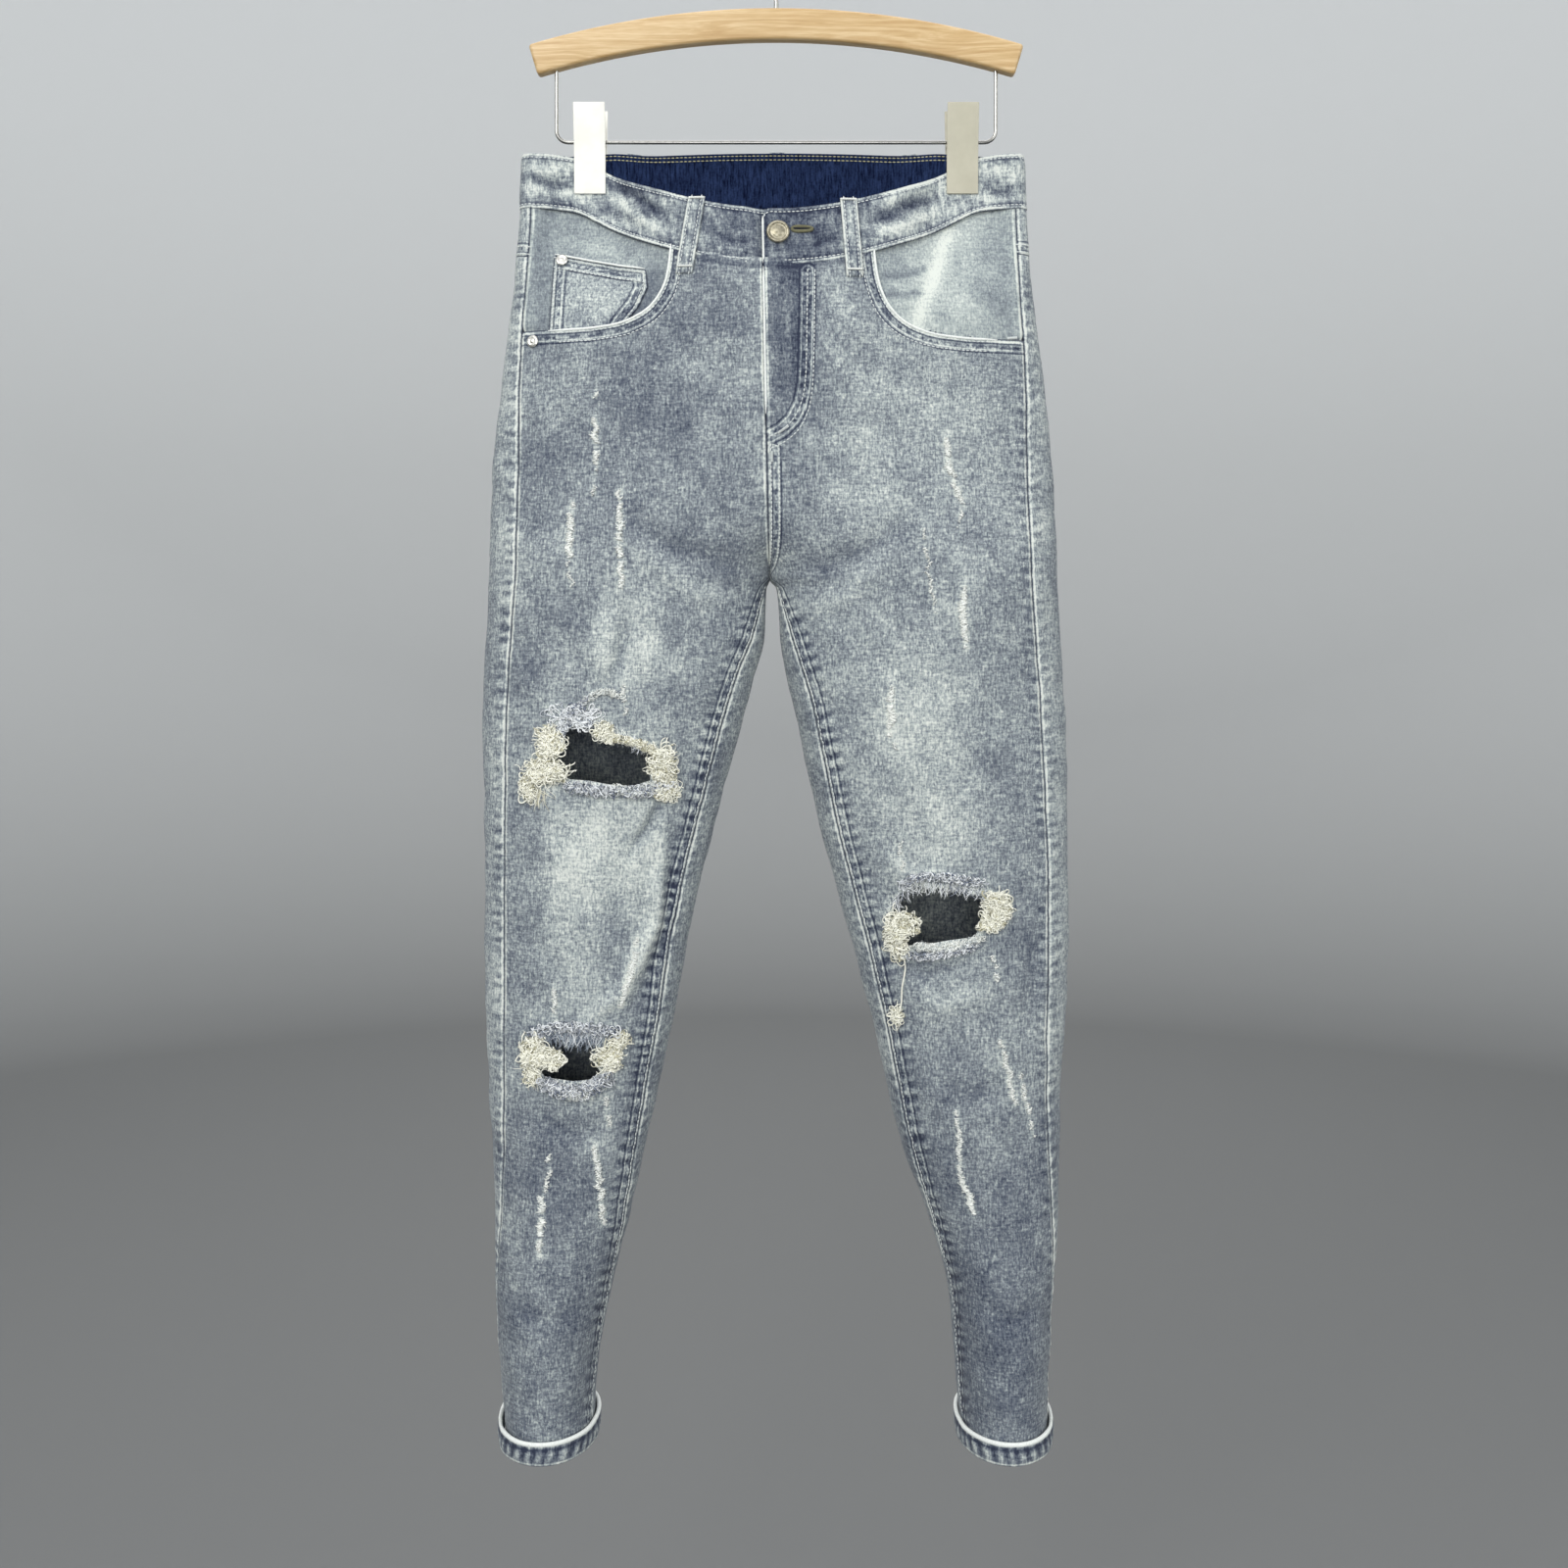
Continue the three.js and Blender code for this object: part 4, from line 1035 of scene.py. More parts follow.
def wood_material(name):
    """Pale planed wood with its grain along the bar."""
    made, tree, shader = new_material(name, Roughness=0.42, Coat_Weight=0.15, Coat_Roughness=0.3)
    place = in_millimetres(tree)
    bend = noise(tree, stretched(tree, place, (0.006, 0.03, 0.03)), detail=2.0)
    bent = tree.nodes.new("ShaderNodeVectorMath")
    bent.operation = "MULTIPLY_ADD"
    tree.links.new(bend, bent.inputs[0])
    bent.inputs[1].default_value = (0.0, 22.0, 22.0)
    tree.links.new(place, bent.inputs[2])
    grain = noise(tree, stretched(tree, bent.outputs[0], (0.012, 0.4, 0.4)), detail=4.0)
    pore = noise(tree, stretched(tree, place, (0.09, 1.8, 1.8)), detail=2.0)
    tone = calc(tree, "ADD", calc(tree, "MULTIPLY", grain, 0.75), calc(tree, "MULTIPLY", pore, 0.25))
    stops = [(at, srgb(*colour)) for at, colour in WOOD_STOPS]
    feed(tree, ramp(tree, tone, stops), shader.inputs["Base Color"])
    raise_surface(tree, shader, pore, 0.00015, 0.4)
    return made


def backdrop_material(name, colour):
    """Matt paper, with painted shade that darkens it where it sweeps into the floor."""
    made, tree, shader = new_material(name, Roughness=0.95, Specular_IOR_Level=0.1)
    split = tree.nodes.new("ShaderNodeSeparateXYZ")
    feed(tree, in_millimetres(tree), split.inputs[0])
    rise = calc(tree, "POWER", spread(tree, split.outputs["Z"], -1610.0, 2400.0), 0.34)
    # Painted shade: the colour falls to a fifth of itself at the floor.
    low = tuple(c * 0.2 for c in colour)
    feed(tree, mixed(tree, rise, low, colour), shader.inputs["Base Color"])
    return made


# What each material is made of: how, its name, dark and light colour, and other values. A
# word stands for one of the colours that may be changed.
RECIPES = {
    "denim": (faded_denim, "Faded denim"),
    "facing": (faded_denim, "Bleached facing", "facing", 0.6),
    "inside": (inside_denim, "Inside of denim", (34, 42, 62), (84, 96, 118)),
    # The inside of the backs is painted far paler than the cloth's inside, as light coming in through
    # the rips, with painted shade where no light reaches.
    "inside_back": (inside_denim, "Inside of back", (176, 186, 194), (216, 224, 230), True),
    "inside_band": (inside_denim, "Inside of waistband", (13, 20, 42), (44, 58, 92)),
    "cream": (thread_material, "Torn cream cotton", (190, 185, 154), "torn_thread"),
    "pale_blue": (thread_material, "Frayed pale warp", (88, 100, 124), (246, 249, 250)),
    "blue": (thread_material, "Frayed blue warp", (56, 68, 94), (176, 186, 196)),
    "white": (thread_material, "Bleached weft", (188, 196, 198), (246, 248, 242)),
    "seam_thread": (thread_material, "Seam thread", (132, 140, 144), "seam_thread"),
    "olive": (thread_material, "Overlock thread", (112, 104, 62), (196, 190, 150)),
    "dark_olive": (thread_material, "Buttonhole thread", (52, 52, 42), (120, 118, 92)),
    # The dark slot is painted shade in the buttonhole's slit.
    "slot": (thread_material, "Dark slot", (10, 12, 20), (22, 26, 38)),
    "worn_edge": (thread_material, "Rubbed edge", (120, 129, 138), (240, 243, 238)),
    "button": (metal_material, "Aged button metal", (176, 170, 150), (96, 90, 70), 0.4, 0.7),
    "rivet": (metal_material, "Rivet metal", (232, 230, 222), (150, 146, 134), 0.34),
    "steel": (metal_material, "Polished wire", (176, 175, 170), (120, 119, 115), 0.2),
    "clip_pale": (painted_plate, "Pale clip plate", (248, 247, 238), (242, 241, 231)),
    # The beige clip paint is a darker, yellower copy of the pale one, as painted shade.
    "clip_beige": (painted_plate, "Beige clip plate", (190, 186, 166), (184, 180, 160)),
    "wood": (wood_material, "Pale wood"),
}
MATERIALS = {}


def material(name):
    """One of this object's materials, made when it is first wanted."""
    if name not in MATERIALS:
        make, title, *values = RECIPES[name]
        for place, value in enumerate(values):
            if isinstance(value, tuple):
                values[place] = srgb(*value)
            elif isinstance(value, str):
                values[place] = tuple(getattr(bpy.context.scene.jeans_colours, value))
        MATERIALS[name] = make(title, *values)
    return MATERIALS[name]


# ---- sizes and colours --------------------------------------------------------------------


class JeansSizes(bpy.types.PropertyGroup):
    """Sizes that may be changed."""

    denim: FloatProperty(
        name="Denim", description="Thickness of one layer of denim", default=DENIM * MM,
        min=0.0005, max=0.003, unit="LENGTH",
    )
    light_cloth: FloatProperty(
        name="Light cloth", description="Thickness of facings and the small pocket",
        default=0.001, min=0.0004, max=0.002, unit="LENGTH",
    )
    tear_threads: IntProperty(
        name="Threads in a tuft", description="Loose threads in each tuft of torn cloth",
        default=300, min=20, max=500,
    )
    seed: IntProperty(
        name="Seed", description="Changes how the loose threads lie", default=7, min=0,
    )


class JeansColours(bpy.types.PropertyGroup):
    """Colours that may be changed."""

    facing: FloatVectorProperty(
        name="Facing", description="Tint of the bleached facings", subtype="COLOR", size=3,
        min=0, max=1, default=(0.99, 1.0, 0.99),
    )
    torn_thread: FloatVectorProperty(
        name="Torn thread", description="Cotton core of the torn places", subtype="COLOR",
        size=3, min=0, max=1, default=srgb(255, 254, 240),
    )
    seam_thread: FloatVectorProperty(
        name="Seam thread", description="Thread of the topstitching", subtype="COLOR",
        size=3, min=0, max=1, default=srgb(224, 229, 226),
    )
    backdrop: FloatVectorProperty(
        name="Backdrop", description="Colour of floor and backdrop", subtype="COLOR", size=3,
        min=0, max=1, default=srgb(251, 253, 252),
    )


# ---- cloth pieces -------------------------------------------------------------------------

TUCK = 5.0  # how far a panel runs up under the piece above it
FLY_END = 226.0
FLY_FURROW = 4.4  # how far in from an edge the furrow of the fly's stitches counts as lying


def grid_of(side, panel, top, bottom, columns, rows):
    """u and h over a panel between two lines."""
    u = np.linspace(0, 1, columns)
    low = crossing(side, panel, u, bottom) if callable(bottom) else np.full(columns, bottom)
    high = crossing(side, panel, u, top) if callable(top) else np.full(columns, top)
    share = np.linspace(0, 1, rows)[:, None]
    h = high + (low - high) * share
    return np.broadcast_to(u, h.shape), h


def cut_size(side, panel, u, h):
    """Width, length and area in metres of the flat cut of a piece over a grid of u and h."""
    length = skin(side, panel, u, h)[1]
    du = (u[:, 1:] - u[:, :-1]) * length[:, 1:]
    dh = np.diff(h, axis=0)
    area = ((du[1:] + du[:-1]) / 2 * (dh[:, 1:] + dh[:, :-1]) / 2).sum()
    width = du.sum(axis=1).max()
    return (width * MM, (h.max() - h.min()) * MM), area * MM * MM


class JEANS_OT_front_panels(bpy.types.Operator):
    """Adds the two front panels with their pocket mouths and rips"""

    bl_idname = "jeans.front_panels"
    bl_label = "Front panels"

    def execute(self, context):
        sizes = context.scene.jeans_sizes
        for name, side in SIDES.items():
            u, h = grid_of(
                side, "front", lambda x: band_seam("front", x) - TUCK, LEG_END, 98, 372)

            def cut(x, h, side=side):
                return np.minimum(to_scoop(side, x, h), to_rips(side, x, h))

            def edge_of(x, h, u, length, side=side):
                seams = np.minimum(u, 1 - u) * length
                return np.minimum(seams, np.maximum(0, to_scoop(side, x, h)))

            def sewn_of(x, h, u, length, side=side):
                inner = (1 - u) * length
                if side == RIGHT:
                    inner = np.where(h < CROTCH, FAR, inner)
                else:
                    fly = to_line(x, h, FLY_LINES[1])[0] + FLY_FURROW
                    inner = np.where(h < FLY_END, fly, inner)
                return np.minimum(inner, np.maximum(0, to_scoop(side, x, h)))

            # A line of painted shadow just below the waistband's seam.
            def shadow_under_band(x, h):
                return -0.36 * hill(h - band_seam("front", x) - 1.2, 1.5)

            piece = panel_sheet(
                f"front_panel_{name}", side, "front", u, h, 0.0, sizes.denim / MM,
                fade=shadow_under_band, cut=cut, edge_of=edge_of, sewn_of=sewn_of)
            flat, area = cut_size(side, "front", u, h)
            # The pocket mouth and the rips take their share of the cut.
            finish_cloth(
                piece, ["denim", "inside"],
                [f"front_{name}_upper", f"front_{name}_lower"], flat, area * 0.93)
        return {"FINISHED"}


class JEANS_OT_back_panels(bpy.types.Operator):
    """Adds the two back panels and the yokes above them"""

    bl_idname = "jeans.back_panels"
    bl_label = "Back panels and yokes"

    def execute(self, context):
        sizes = context.scene.jeans_sizes
        for name, side in SIDES.items():
            u, h = grid_of(side, "back", yoke_seam, LEG_END, 74, 232)
            piece = panel_sheet(
                f"back_panel_{name}", side, "back", u, h, 0.0, sizes.denim / MM)
            flat, area = cut_size(side, "back", u, h)
            finish_cloth(
                piece, ["denim", "inside_back"],
                [f"back_{name}_upper", f"back_{name}_lower"], flat, area)

            u, h = grid_of(
                side, "back", lambda x: band_seam("back", x) - TUCK, yoke_seam, 74, 26)
            piece = panel_sheet(
                f"back_yoke_{name}", side, "back", u, h, 0.0, sizes.denim / MM,
                edge_of=lambda x, h, u, length: np.minimum(
                    np.minimum(u, 1 - u) * length, np.abs(yoke_seam(x) - h)),
                sewn_of=lambda x, h, u, length: np.abs(yoke_seam(x) - h))
            flat, area = cut_size(side, "back", u, h)
            finish_cloth(
                piece, ["denim", "inside"], [f"yoke_{name}"], flat, area)
        return {"FINISHED"}


COIN_POCKET = [
    (-168, 78), (-98, 92), (-96, 106), (-103, 122), (-114, 136), (-119, 150), (-171, 150),
]
# Flat sizes in metres.
COIN_SIZE, FACING_LENGTH = (0.075, 0.074), 0.105
FACING_MARGIN = 14.0  # how far a facing runs on behind the mouth
GAP = 0.3  # room between layers of cloth

# Lighter and darker places of the facings, mostly painted light and shade: a highlight
# along a fold, shade in creases and near the seams. Side, line of (x, h), half width, amount.
FACING_LIGHT_AND_SHADE = [
    (LEFT, [(131, 60), (120, 92), (102, 142)], 6.0, 0.24),
    (LEFT, [(112, 90), (96, 120)], 12.0, 0.04),
    (LEFT, [(80, 98), (98, 96), (112, 90)], 3.0, -0.22),
    (LEFT, [(78, 112), (94, 112), (108, 110)], 3.0, -0.22),
    (LEFT, [(166, 60), (172, 142)], 14.0, -0.10),
    (RIGHT, [(-178, 60), (-176, 140)], 6.0, -0.10),
    (RIGHT, [(-160, 66), (-120, 78)], 5.0, 0.10),
    (RIGHT, [(-92, 96), (-100, 126), (-120, 142)], 7.0, -0.20),
]
# And of the small pocket, with painted shade along its seams.
SMALL_POCKET_MARKS = [
    (RIGHT, [(-158, 128), (-140, 112), (-128, 120)], 12.0, 0.08),
    (RIGHT, [(-112, 128), (-126, 144)], 7.0, -0.34),
    (RIGHT, [(-150, 90), (-110, 97)], 2.6, -0.12),
    (RIGHT, [(-150, 146), (-128, 148)], 3.5, -0.22),
]


def within(outline, folded=0.0):
    """The distance in from an outline, for panel_sheet."""
    return lambda x, h, u, length: np.maximum(0.0, -inside_outline(x, h, outline)) + folded


def marked(side, x, h, marks):
    total = 0 * x
    for on, line, width, amount in marks:
        if on == side:
            d, _ = to_line(x, h, line)
            total = total + amount * hill(d, width)
    return total


class JEANS_OT_front_pockets(bpy.types.Operator):
    """Adds the facings behind the front pocket mouths and the small pocket"""

    bl_idname = "jeans.front_pockets"
    bl_label = "Front pockets"

    def execute(self, context):
        sizes = context.scene.jeans_sizes
        light = sizes.light_cloth / MM
        deep = -sizes.denim / MM / 2 - 2 * GAP - light * 1.5
        for name, side in SIDES.items():
            low = SCOOP_FROM + SCOOP_DEPTH[side]

            def out(from_outseam, h, low=low):
                # The facing is sewn into the side seam, and lies deeper behind the front.
                sewn = hill(from_outseam, 8) * (1 - ease((h - low + 4) / 4))
                return deep * (1 - sewn)

            u = np.broadcast_to(np.linspace(0, 0.75, 84), (60, 84))
            h = np.broadcast_to(np.linspace(38, 172, 60)[:, None], u.shape)
            paler = 0.16 if side == LEFT else 0.06
            piece = panel_sheet(
                f"pocket_facing_sheet_{name}", side, "front", u, h, out, light,
                cut=lambda x, h, side=side: np.minimum(
                    FACING_MARGIN - to_scoop(side, x, h), h - band_seam("front", x) + TUCK),
                fade=lambda x, h, side=side, paler=paler: paler + marked(
                    side, x, h, FACING_LIGHT_AND_SHADE),
                edge_of=lambda x, h, u, length: np.maximum(0.6, u * length))
            (width, _), _ = cut_size(side, "front", u, h)
            finish_cloth(
                piece, ["facing", "inside"], [f"pocket_facing_{name}"],
                (width, FACING_LENGTH), width * FACING_LENGTH * 0.72)
        u = np.broadcast_to(np.linspace(0.05, 0.62, 70), (56, 70))
        h = np.broadcast_to(np.linspace(70, 156, 56)[:, None], u.shape)

        def puckers(x, h):
            mouth = np.abs(to_line(x, h, [(-168, 84.5), (-98, 98.5)])[0])
            side_seam = np.minimum(np.abs(x + 164), to_line(
                x, h, [(-101.5, 97), (-102, 106), (-108, 122), (-118, 136)])[0])
            rope = roping(h, x, 5) * hill(side_seam, 3)
            return 0.16 * rope + 0.08 * roping(x, h, 9) * hill(mouth, 3)

        piece = panel_sheet(
            "small_pocket", RIGHT, "front", u, h, -sizes.denim / MM / 2 - GAP - light / 2, light,
            cut=lambda x, h: -inside_outline(x, h, COIN_POCKET),
            fade=lambda x, h: 0.10 + marked(RIGHT, x, h, SMALL_POCKET_MARKS) + puckers(x, h),
            edge_of=within(COIN_POCKET), sewn_of=within(COIN_POCKET))
        finish_cloth(
            piece, ["denim", "inside"], ["coin_pocket"], COIN_SIZE,
            COIN_SIZE[0] * COIN_SIZE[1] * 0.8)
        return {"FINISHED"}


BACK_POCKET = [(68, 0), (62, 122), (0, 146), (-62, 122), (-68, 0)]
BACK_POCKET_X = {"right": -98.0, "left": 92.0}
BACK_POCKET_TOP = 122.0
BACK_POCKET_SIZE, BACK_POCKET_AREA = (0.146, 0.150), 0.0195


def back_pocket_outline(name, inset=0.0):
    return [
        (BACK_POCKET_X[name] + x * (1 - inset / 68),
         BACK_POCKET_TOP + inset + h * (1 - inset / 73))
        for x, h in BACK_POCKET
    ]


# A folded edge has no groove, so no shade is painted beside it.
FOLDED_EDGE = 1.2  # a pocket's edge is turned in and rubbed, so it shows no dark groove


class JEANS_OT_back_pockets(bpy.types.Operator):
    """Adds the two back pockets"""

    bl_idname = "jeans.back_pockets"
    bl_label = "Back pockets"

    def execute(self, context):
        denim = context.scene.jeans_sizes.denim / MM
        for name, side in SIDES.items():
            outline = back_pocket_outline(name)
            u = np.broadcast_to(np.linspace(0.06, 0.92, 92), (70, 92))
            h = np.broadcast_to(np.linspace(118, 272, 70)[:, None], u.shape)
            piece = panel_sheet(
                f"back_pocket_shape_{name}", side, "back", u, h, denim + 0.05, denim,
                cut=lambda x, h, outline=outline: -inside_outline(x, h, outline), fade=0.03,
                edge_of=within(outline, FOLDED_EDGE), sewn_of=within(outline))
            finish_cloth(
                piece, ["denim", "inside"], [f"back_pocket_{name}"],
                BACK_POCKET_SIZE, BACK_POCKET_AREA)
        return {"FINISHED"}


# ---- waistband ----------------------------------------------------------------------------


def rounded_band(rows, thickness, power=9):
    """A closed profile of (share, out): down the outer face and back up the inner one."""
    share = (1 - np.cos(np.pi * np.linspace(0, 1, rows))) / 2
    out = thickness / 2 * (1 - np.abs(2 * share - 1) ** power) ** (1 / power)
    return (
        np.concatenate([share, share[-2:0:-1]]),
        np.concatenate([out, -out[-2:0:-1]]),
    )


UNDER_LAP = 3.6  # how far the right end of the band lies behind the left one
LAP_EASE = 14.0  # length over which it goes there
BAND_FRONT = 190.0  # length of half the front of the band
BAND_FLAT = BAND_HEIGHT + 3  # height of the band's cut
BAND_ROWS = (0.075, 0.925)  # where its two rows of stitches lie


def band_surface(side, panel, u, share, out, end_radius=0.0):
    """Points and normals of the waistband for columns u and shares of its height."""
    top = crossing(side, panel, u, lambda x: band_top(panel, x))
    seam = crossing(side, panel, u, lambda x: band_seam(panel, x))
    if end_radius:
        length = skin(side, panel, u, (top + seam) / 2)[1]
        from_end = (1 - u) * length
        near = np.clip(1 - from_end / end_radius, 0, 1)
        top = top + end_radius * (1 - np.sqrt(1 - near**2))
    h = top[:, None] + (seam - top)[:, None] * share
    u = np.broadcast_to(u[:, None], h.shape)
    points, normal = skin(side, panel, u, h)[0], outward(side, panel, u, h)
    x = points[..., 0]
    height = 0.35 * waves(x, h, 51 + side, 40, 0.8) + 0.16 * waves(x, h, 57, 11)
    height = height - 0.35 * sum(hill((share - row) * BAND_FLAT, 1.1) for row in BAND_ROWS)
    if panel == "front":
        height = height + creased(side, x, h, BAND_CREASES)
    # Nothing rises inside the jaws of the clips.
    grip = np.clip((np.abs(np.abs(x) - CLIP_X) - CLIP_WIDTH / 2 - 1) / 7, 0, 1)
    height = height * np.where(h < CLIP_GRIP + 6, grip, 1.0)
    if side == LEFT and panel == "front":
        # The buttoned end springs a little off the one behind it.
        height = height + 0.5 * hill((1 - u) * BAND_FRONT, 10)
    return points + normal * (height + out)[..., None], normal, h


BAND_RUNS = (
    (LEFT, "front", 1.0, 0.0, 100), (LEFT, "back", 0.0, 1.0, 76),
    (RIGHT, "back", 1.0, 0.0, 76), (RIGHT, "front", 0.0, 1.0, 100),
    (LEFT, "front", 1.0, 0.84, 14),
)


def band_columns(share, out, runs=BAND_RUNS):
    """Points, normals and h of the waistband, for a profile or a single row."""
    made = []
    for number, (side, panel, first, last, count) in enumerate(runs):
        u = np.linspace(first, last, count)
        if made:
            u = u[1:]
        behind = np.zeros(len(u))
        if number == 3:
            behind = ease(1 - (1 - u) * BAND_FRONT / LAP_EASE) * UNDER_LAP
        if number == 4:
            behind[:] = UNDER_LAP
        radius = 7.0 if number == 0 else 0.0
        made.append(band_surface(side, panel, u, share, out - behind[:, None], radius))
    return [np.concatenate(parts) for parts in zip(*made)]


class JEANS_OT_waistband(bpy.types.Operator):
    """Adds the waistband, one strip that laps over itself under the button"""

    bl_idname = "jeans.waistband"
    bl_label = "Waistband"

    def execute(self, context):
        share, out = rounded_band(22, BAND)
        points, _, h = band_columns(share, out)
        count, round_it = points.shape[:2]
        mesh = make_mesh("waistband_strip", points.reshape(-1, 3), ring_faces(count, round_it))
        x = points[..., 0]
        along = walked(points[:, 5])
        edge = np.minimum(share, 1 - share)[None, :] * BAND_FLAT + 0.5
        edge = np.minimum(edge, along[:, None] + 0.5)
        fade = 0.66 + 0.06 * ease((x - 60) / 30) - 0.12 * hill(x + 92, 34)
        dark_middle = 0.42 * hill(x - 10, 62)
        fade = fade - dark_middle * (1.3 - 0.7 * share[None, :])
        fade = fade + 0.15 * waves(x, h, 91, 24, 0.6) + 0.12 * waves(x, h, 93, 8, 0.8)
        at = np.broadcast_to(along[:, None], h.shape)
        fade = fade + 0.13 * hill(edge - 8, 5) * roping(at * 1.25, edge, 41)
        # A line of painted shade in the furrow just inside each row of stitches.
        fade = fade - 0.34 * hill(edge - 4.6, 1.1)
        # Creases of the band: painted shade in the troughs, and lighter ridges, partly wear and partly
        # painted light.
        crease = creased(RIGHT, x, h, BAND_CREASES) + creased(LEFT, x, h, BAND_CREASES)
        fade = fade + 0.24 * np.clip(crease, -1.8, 1.4)
        write_marks(mesh, fade, edge)
        write_uv(mesh, along[:, None], h)
        piece = add_object("waistband_strip", mesh)
        inner = np.tile(np.arange(round_it) >= round_it // 2, count - 1)
        indices = np.zeros(len(mesh.polygons), np.int32)
        indices[: len(inner)] = inner
        mesh.polygons.foreach_set("material_index", indices)
        recalculate_outside(mesh)
        length = along[-1] * MM
        finish_cloth(
            piece, ["denim", "inside_band"], ["waistband"],
            (length, BAND_FLAT * MM), length * BAND_FLAT * MM * 0.995)
        return {"FINISHED"}


def recalculate_outside(mesh):
    shape = bmesh.new()
    shape.from_mesh(mesh)
    bmesh.ops.recalc_face_normals(shape, faces=shape.faces)
    shape.to_mesh(mesh)
    shape.free()


# Belt loops: panel, x at the top and x at the bottom.
LOOPS = {
    "front_right": ("front", -59.0, -68.0), "front_left": ("front", 54.0, 58.5),
    "back_right": ("back", -108.0, -108.0), "back_left": ("back", 102.0, 102.0),
    "back_centre": ("back", 1.0, 1.0),
}
LOOP_WIDTH, LOOP_THICK, LOOP_CLEAR, LOOP_ABOVE, LOOP_BELOW = 12.5, 1.4, 2.5, 1.0, 16.0


def side_of(x, h):
    return RIGHT if x < float(centre_x(h)) else LEFT


def loop_path(name, across, out, rows=26):
    """Points and normals down a belt loop, at a place across it."""
    panel, x_top, x_low = LOOPS[name]
    top = float(band_top(panel, x_top)) - LOOP_ABOVE
    low = float(band_seam(panel, x_low)) + LOOP_BELOW
    points, normals = [], []
    for t in np.linspace(0, 1, rows):
        h = top + (low - top) * t
        x = x_top + (x_low - x_top) * t + across
        side = side_of(x, h)
        u = u_at(side, panel, x, h)
        p, n = skin(side, panel, u, h)[0], outward(side, panel, u, h)
        pressed = max(hill(t, 0.07), hill(1 - t, 0.09))
        lift = LOOP_CLEAR - (0.6 if t < 0.5 else 1.7) * pressed
        points.append(p + n * (lift + out))
        normals.append(n)
    return np.array(points), np.array(normals)


class JEANS_OT_belt_loops(bpy.types.Operator):
    """Adds the five belt loops"""

    bl_idname = "jeans.belt_loops"
    bl_label = "Belt loops"

    def execute(self, context):
        for name in LOOPS:
            share, out = rounded_band(10, LOOP_THICK, 5)
            across = (share - 0.5) * LOOP_WIDTH
            dip = -0.25 * hill(np.abs(across) - 3.6, 0.8) * (out > 0)
            points = np.stack([
                loop_path(name, a, o + d + LOOP_THICK / 2)[0]
                for a, o, d in zip(across, out, dip)], axis=1)
            mesh = make_mesh(
                f"belt_loop_strip_{name}", points.reshape(-1, 3), ring_faces(*points.shape[:2]))
            recalculate_outside(mesh)
            h = WAIST_Z - points[..., 2]
            rub_and_shade = 0.64 + 0.14 * waves(points[..., 0], h, 17, 12)
            # The rows of stitches lie in furrows painted dark as shade.
            rub_and_shade = rub_and_shade - 0.3 * hill(np.abs(across) - 3.4, 0.7)
            write_marks(mesh, rub_and_shade, LOOP_WIDTH / 2 - np.abs(across) + 1.4)
            write_uv(mesh, across, h)
            finish_cloth(
                add_object(mesh.name, mesh), ["denim"], [f"belt_loop_{name}"],
                (LOOP_WIDTH * MM, walked(points[:, 4])[-1] * MM))
        return {"FINISHED"}


# ---- cuffs --------------------------------------------------------------------------------

CUFF_TOP, CUFF_END = 959.0, 974.5
CUFF_OUT = DENIM / 2 + 0.6 + BAND / 2


def cuff_ring(side, share, out, count=70):
    """Columns of the turned-up hem of one leg, all round it."""
    made, turns = [], []
    for panel in ("front", "back"):
        u = np.linspace(0, 1, count, endpoint=False)
        u = 1 - u if panel == "back" else u
        h = np.broadcast_to(CUFF_TOP + (CUFF_END - CUFF_TOP) * share, (count, len(share)))
        at = np.broadcast_to(u[:, None], h.shape)
        points, length = skin(side, panel, at, h)
        normal = outward(side, panel, at, h)
        run = at * length + (0 if panel == "front" else 400)
        twist = 2 * np.pi * (run + 4.5 * share + 3 * waves(run, 0 * h, 5, 40)) / 8.6
        rope = 0.5 * np.sin(twist) * np.sin(np.pi * np.clip(share * 1.05 - 0.02, 0, 1))
        bulge = 0.35 * np.sin(np.pi * share) + 0.3 * waves(run, h, 8, 30)
        bulge = bulge - 0.6 * hill((share - 0.2) * 18, 1.2)
        made.append(points + normal * (out + rope + bulge)[..., None])
        turns.append(rope)
    return np.concatenate(made), np.concatenate(turns)


class JEANS_OT_cuffs(bpy.types.Operator):
    """Adds the turned and roped hems of the legs"""

    bl_idname = "jeans.cuffs"
    bl_label = "Cuffs"

    def execute(self, context):
        for name, side in SIDES.items():
            share, out = rounded_band(16, BAND, 6)
            points, rope = cuff_ring(side, share, out + CUFF_OUT)
            mesh = make_mesh(
                f"cuff_hem_{name}", points.reshape(-1, 3), ring_faces(*points.shape[:2], True))
            recalculate_outside(mesh)
            # The rim's top is rubbed pale, and a line of painted shadow lies just under the rim.
            top_rub, shadow_under_rim = hill(share, 0.12), hill(share - 0.26, 0.09)
            fade = 0.42 + 0.7 * rope + 0.45 * top_rub - 0.5 * shadow_under_rim
            tall = CUFF_END - CUFF_TOP
            edge = np.minimum(share * tall + 3.0, (1 - share) * tall + 0.6)
            write_marks(mesh, fade, edge, 0.5 * top_rub)
            write_uv(mesh, np.arange(len(points))[:, None] * 2.0, WAIST_Z - points[..., 2])
            finish_cloth(
                add_object(mesh.name, mesh), ["denim"], [f"cuff_{name}"],
                (walked(points[:, 4])[-1] * MM, tall * MM))
        return {"FINISHED"}


# ---- stitching and rubbed edges -----------------------------------------------------------


# How far stitches lie outside the skin: on the cloth, and on a back pocket.
ON_CLOTH, ON_POCKET = 0.75, 2.35


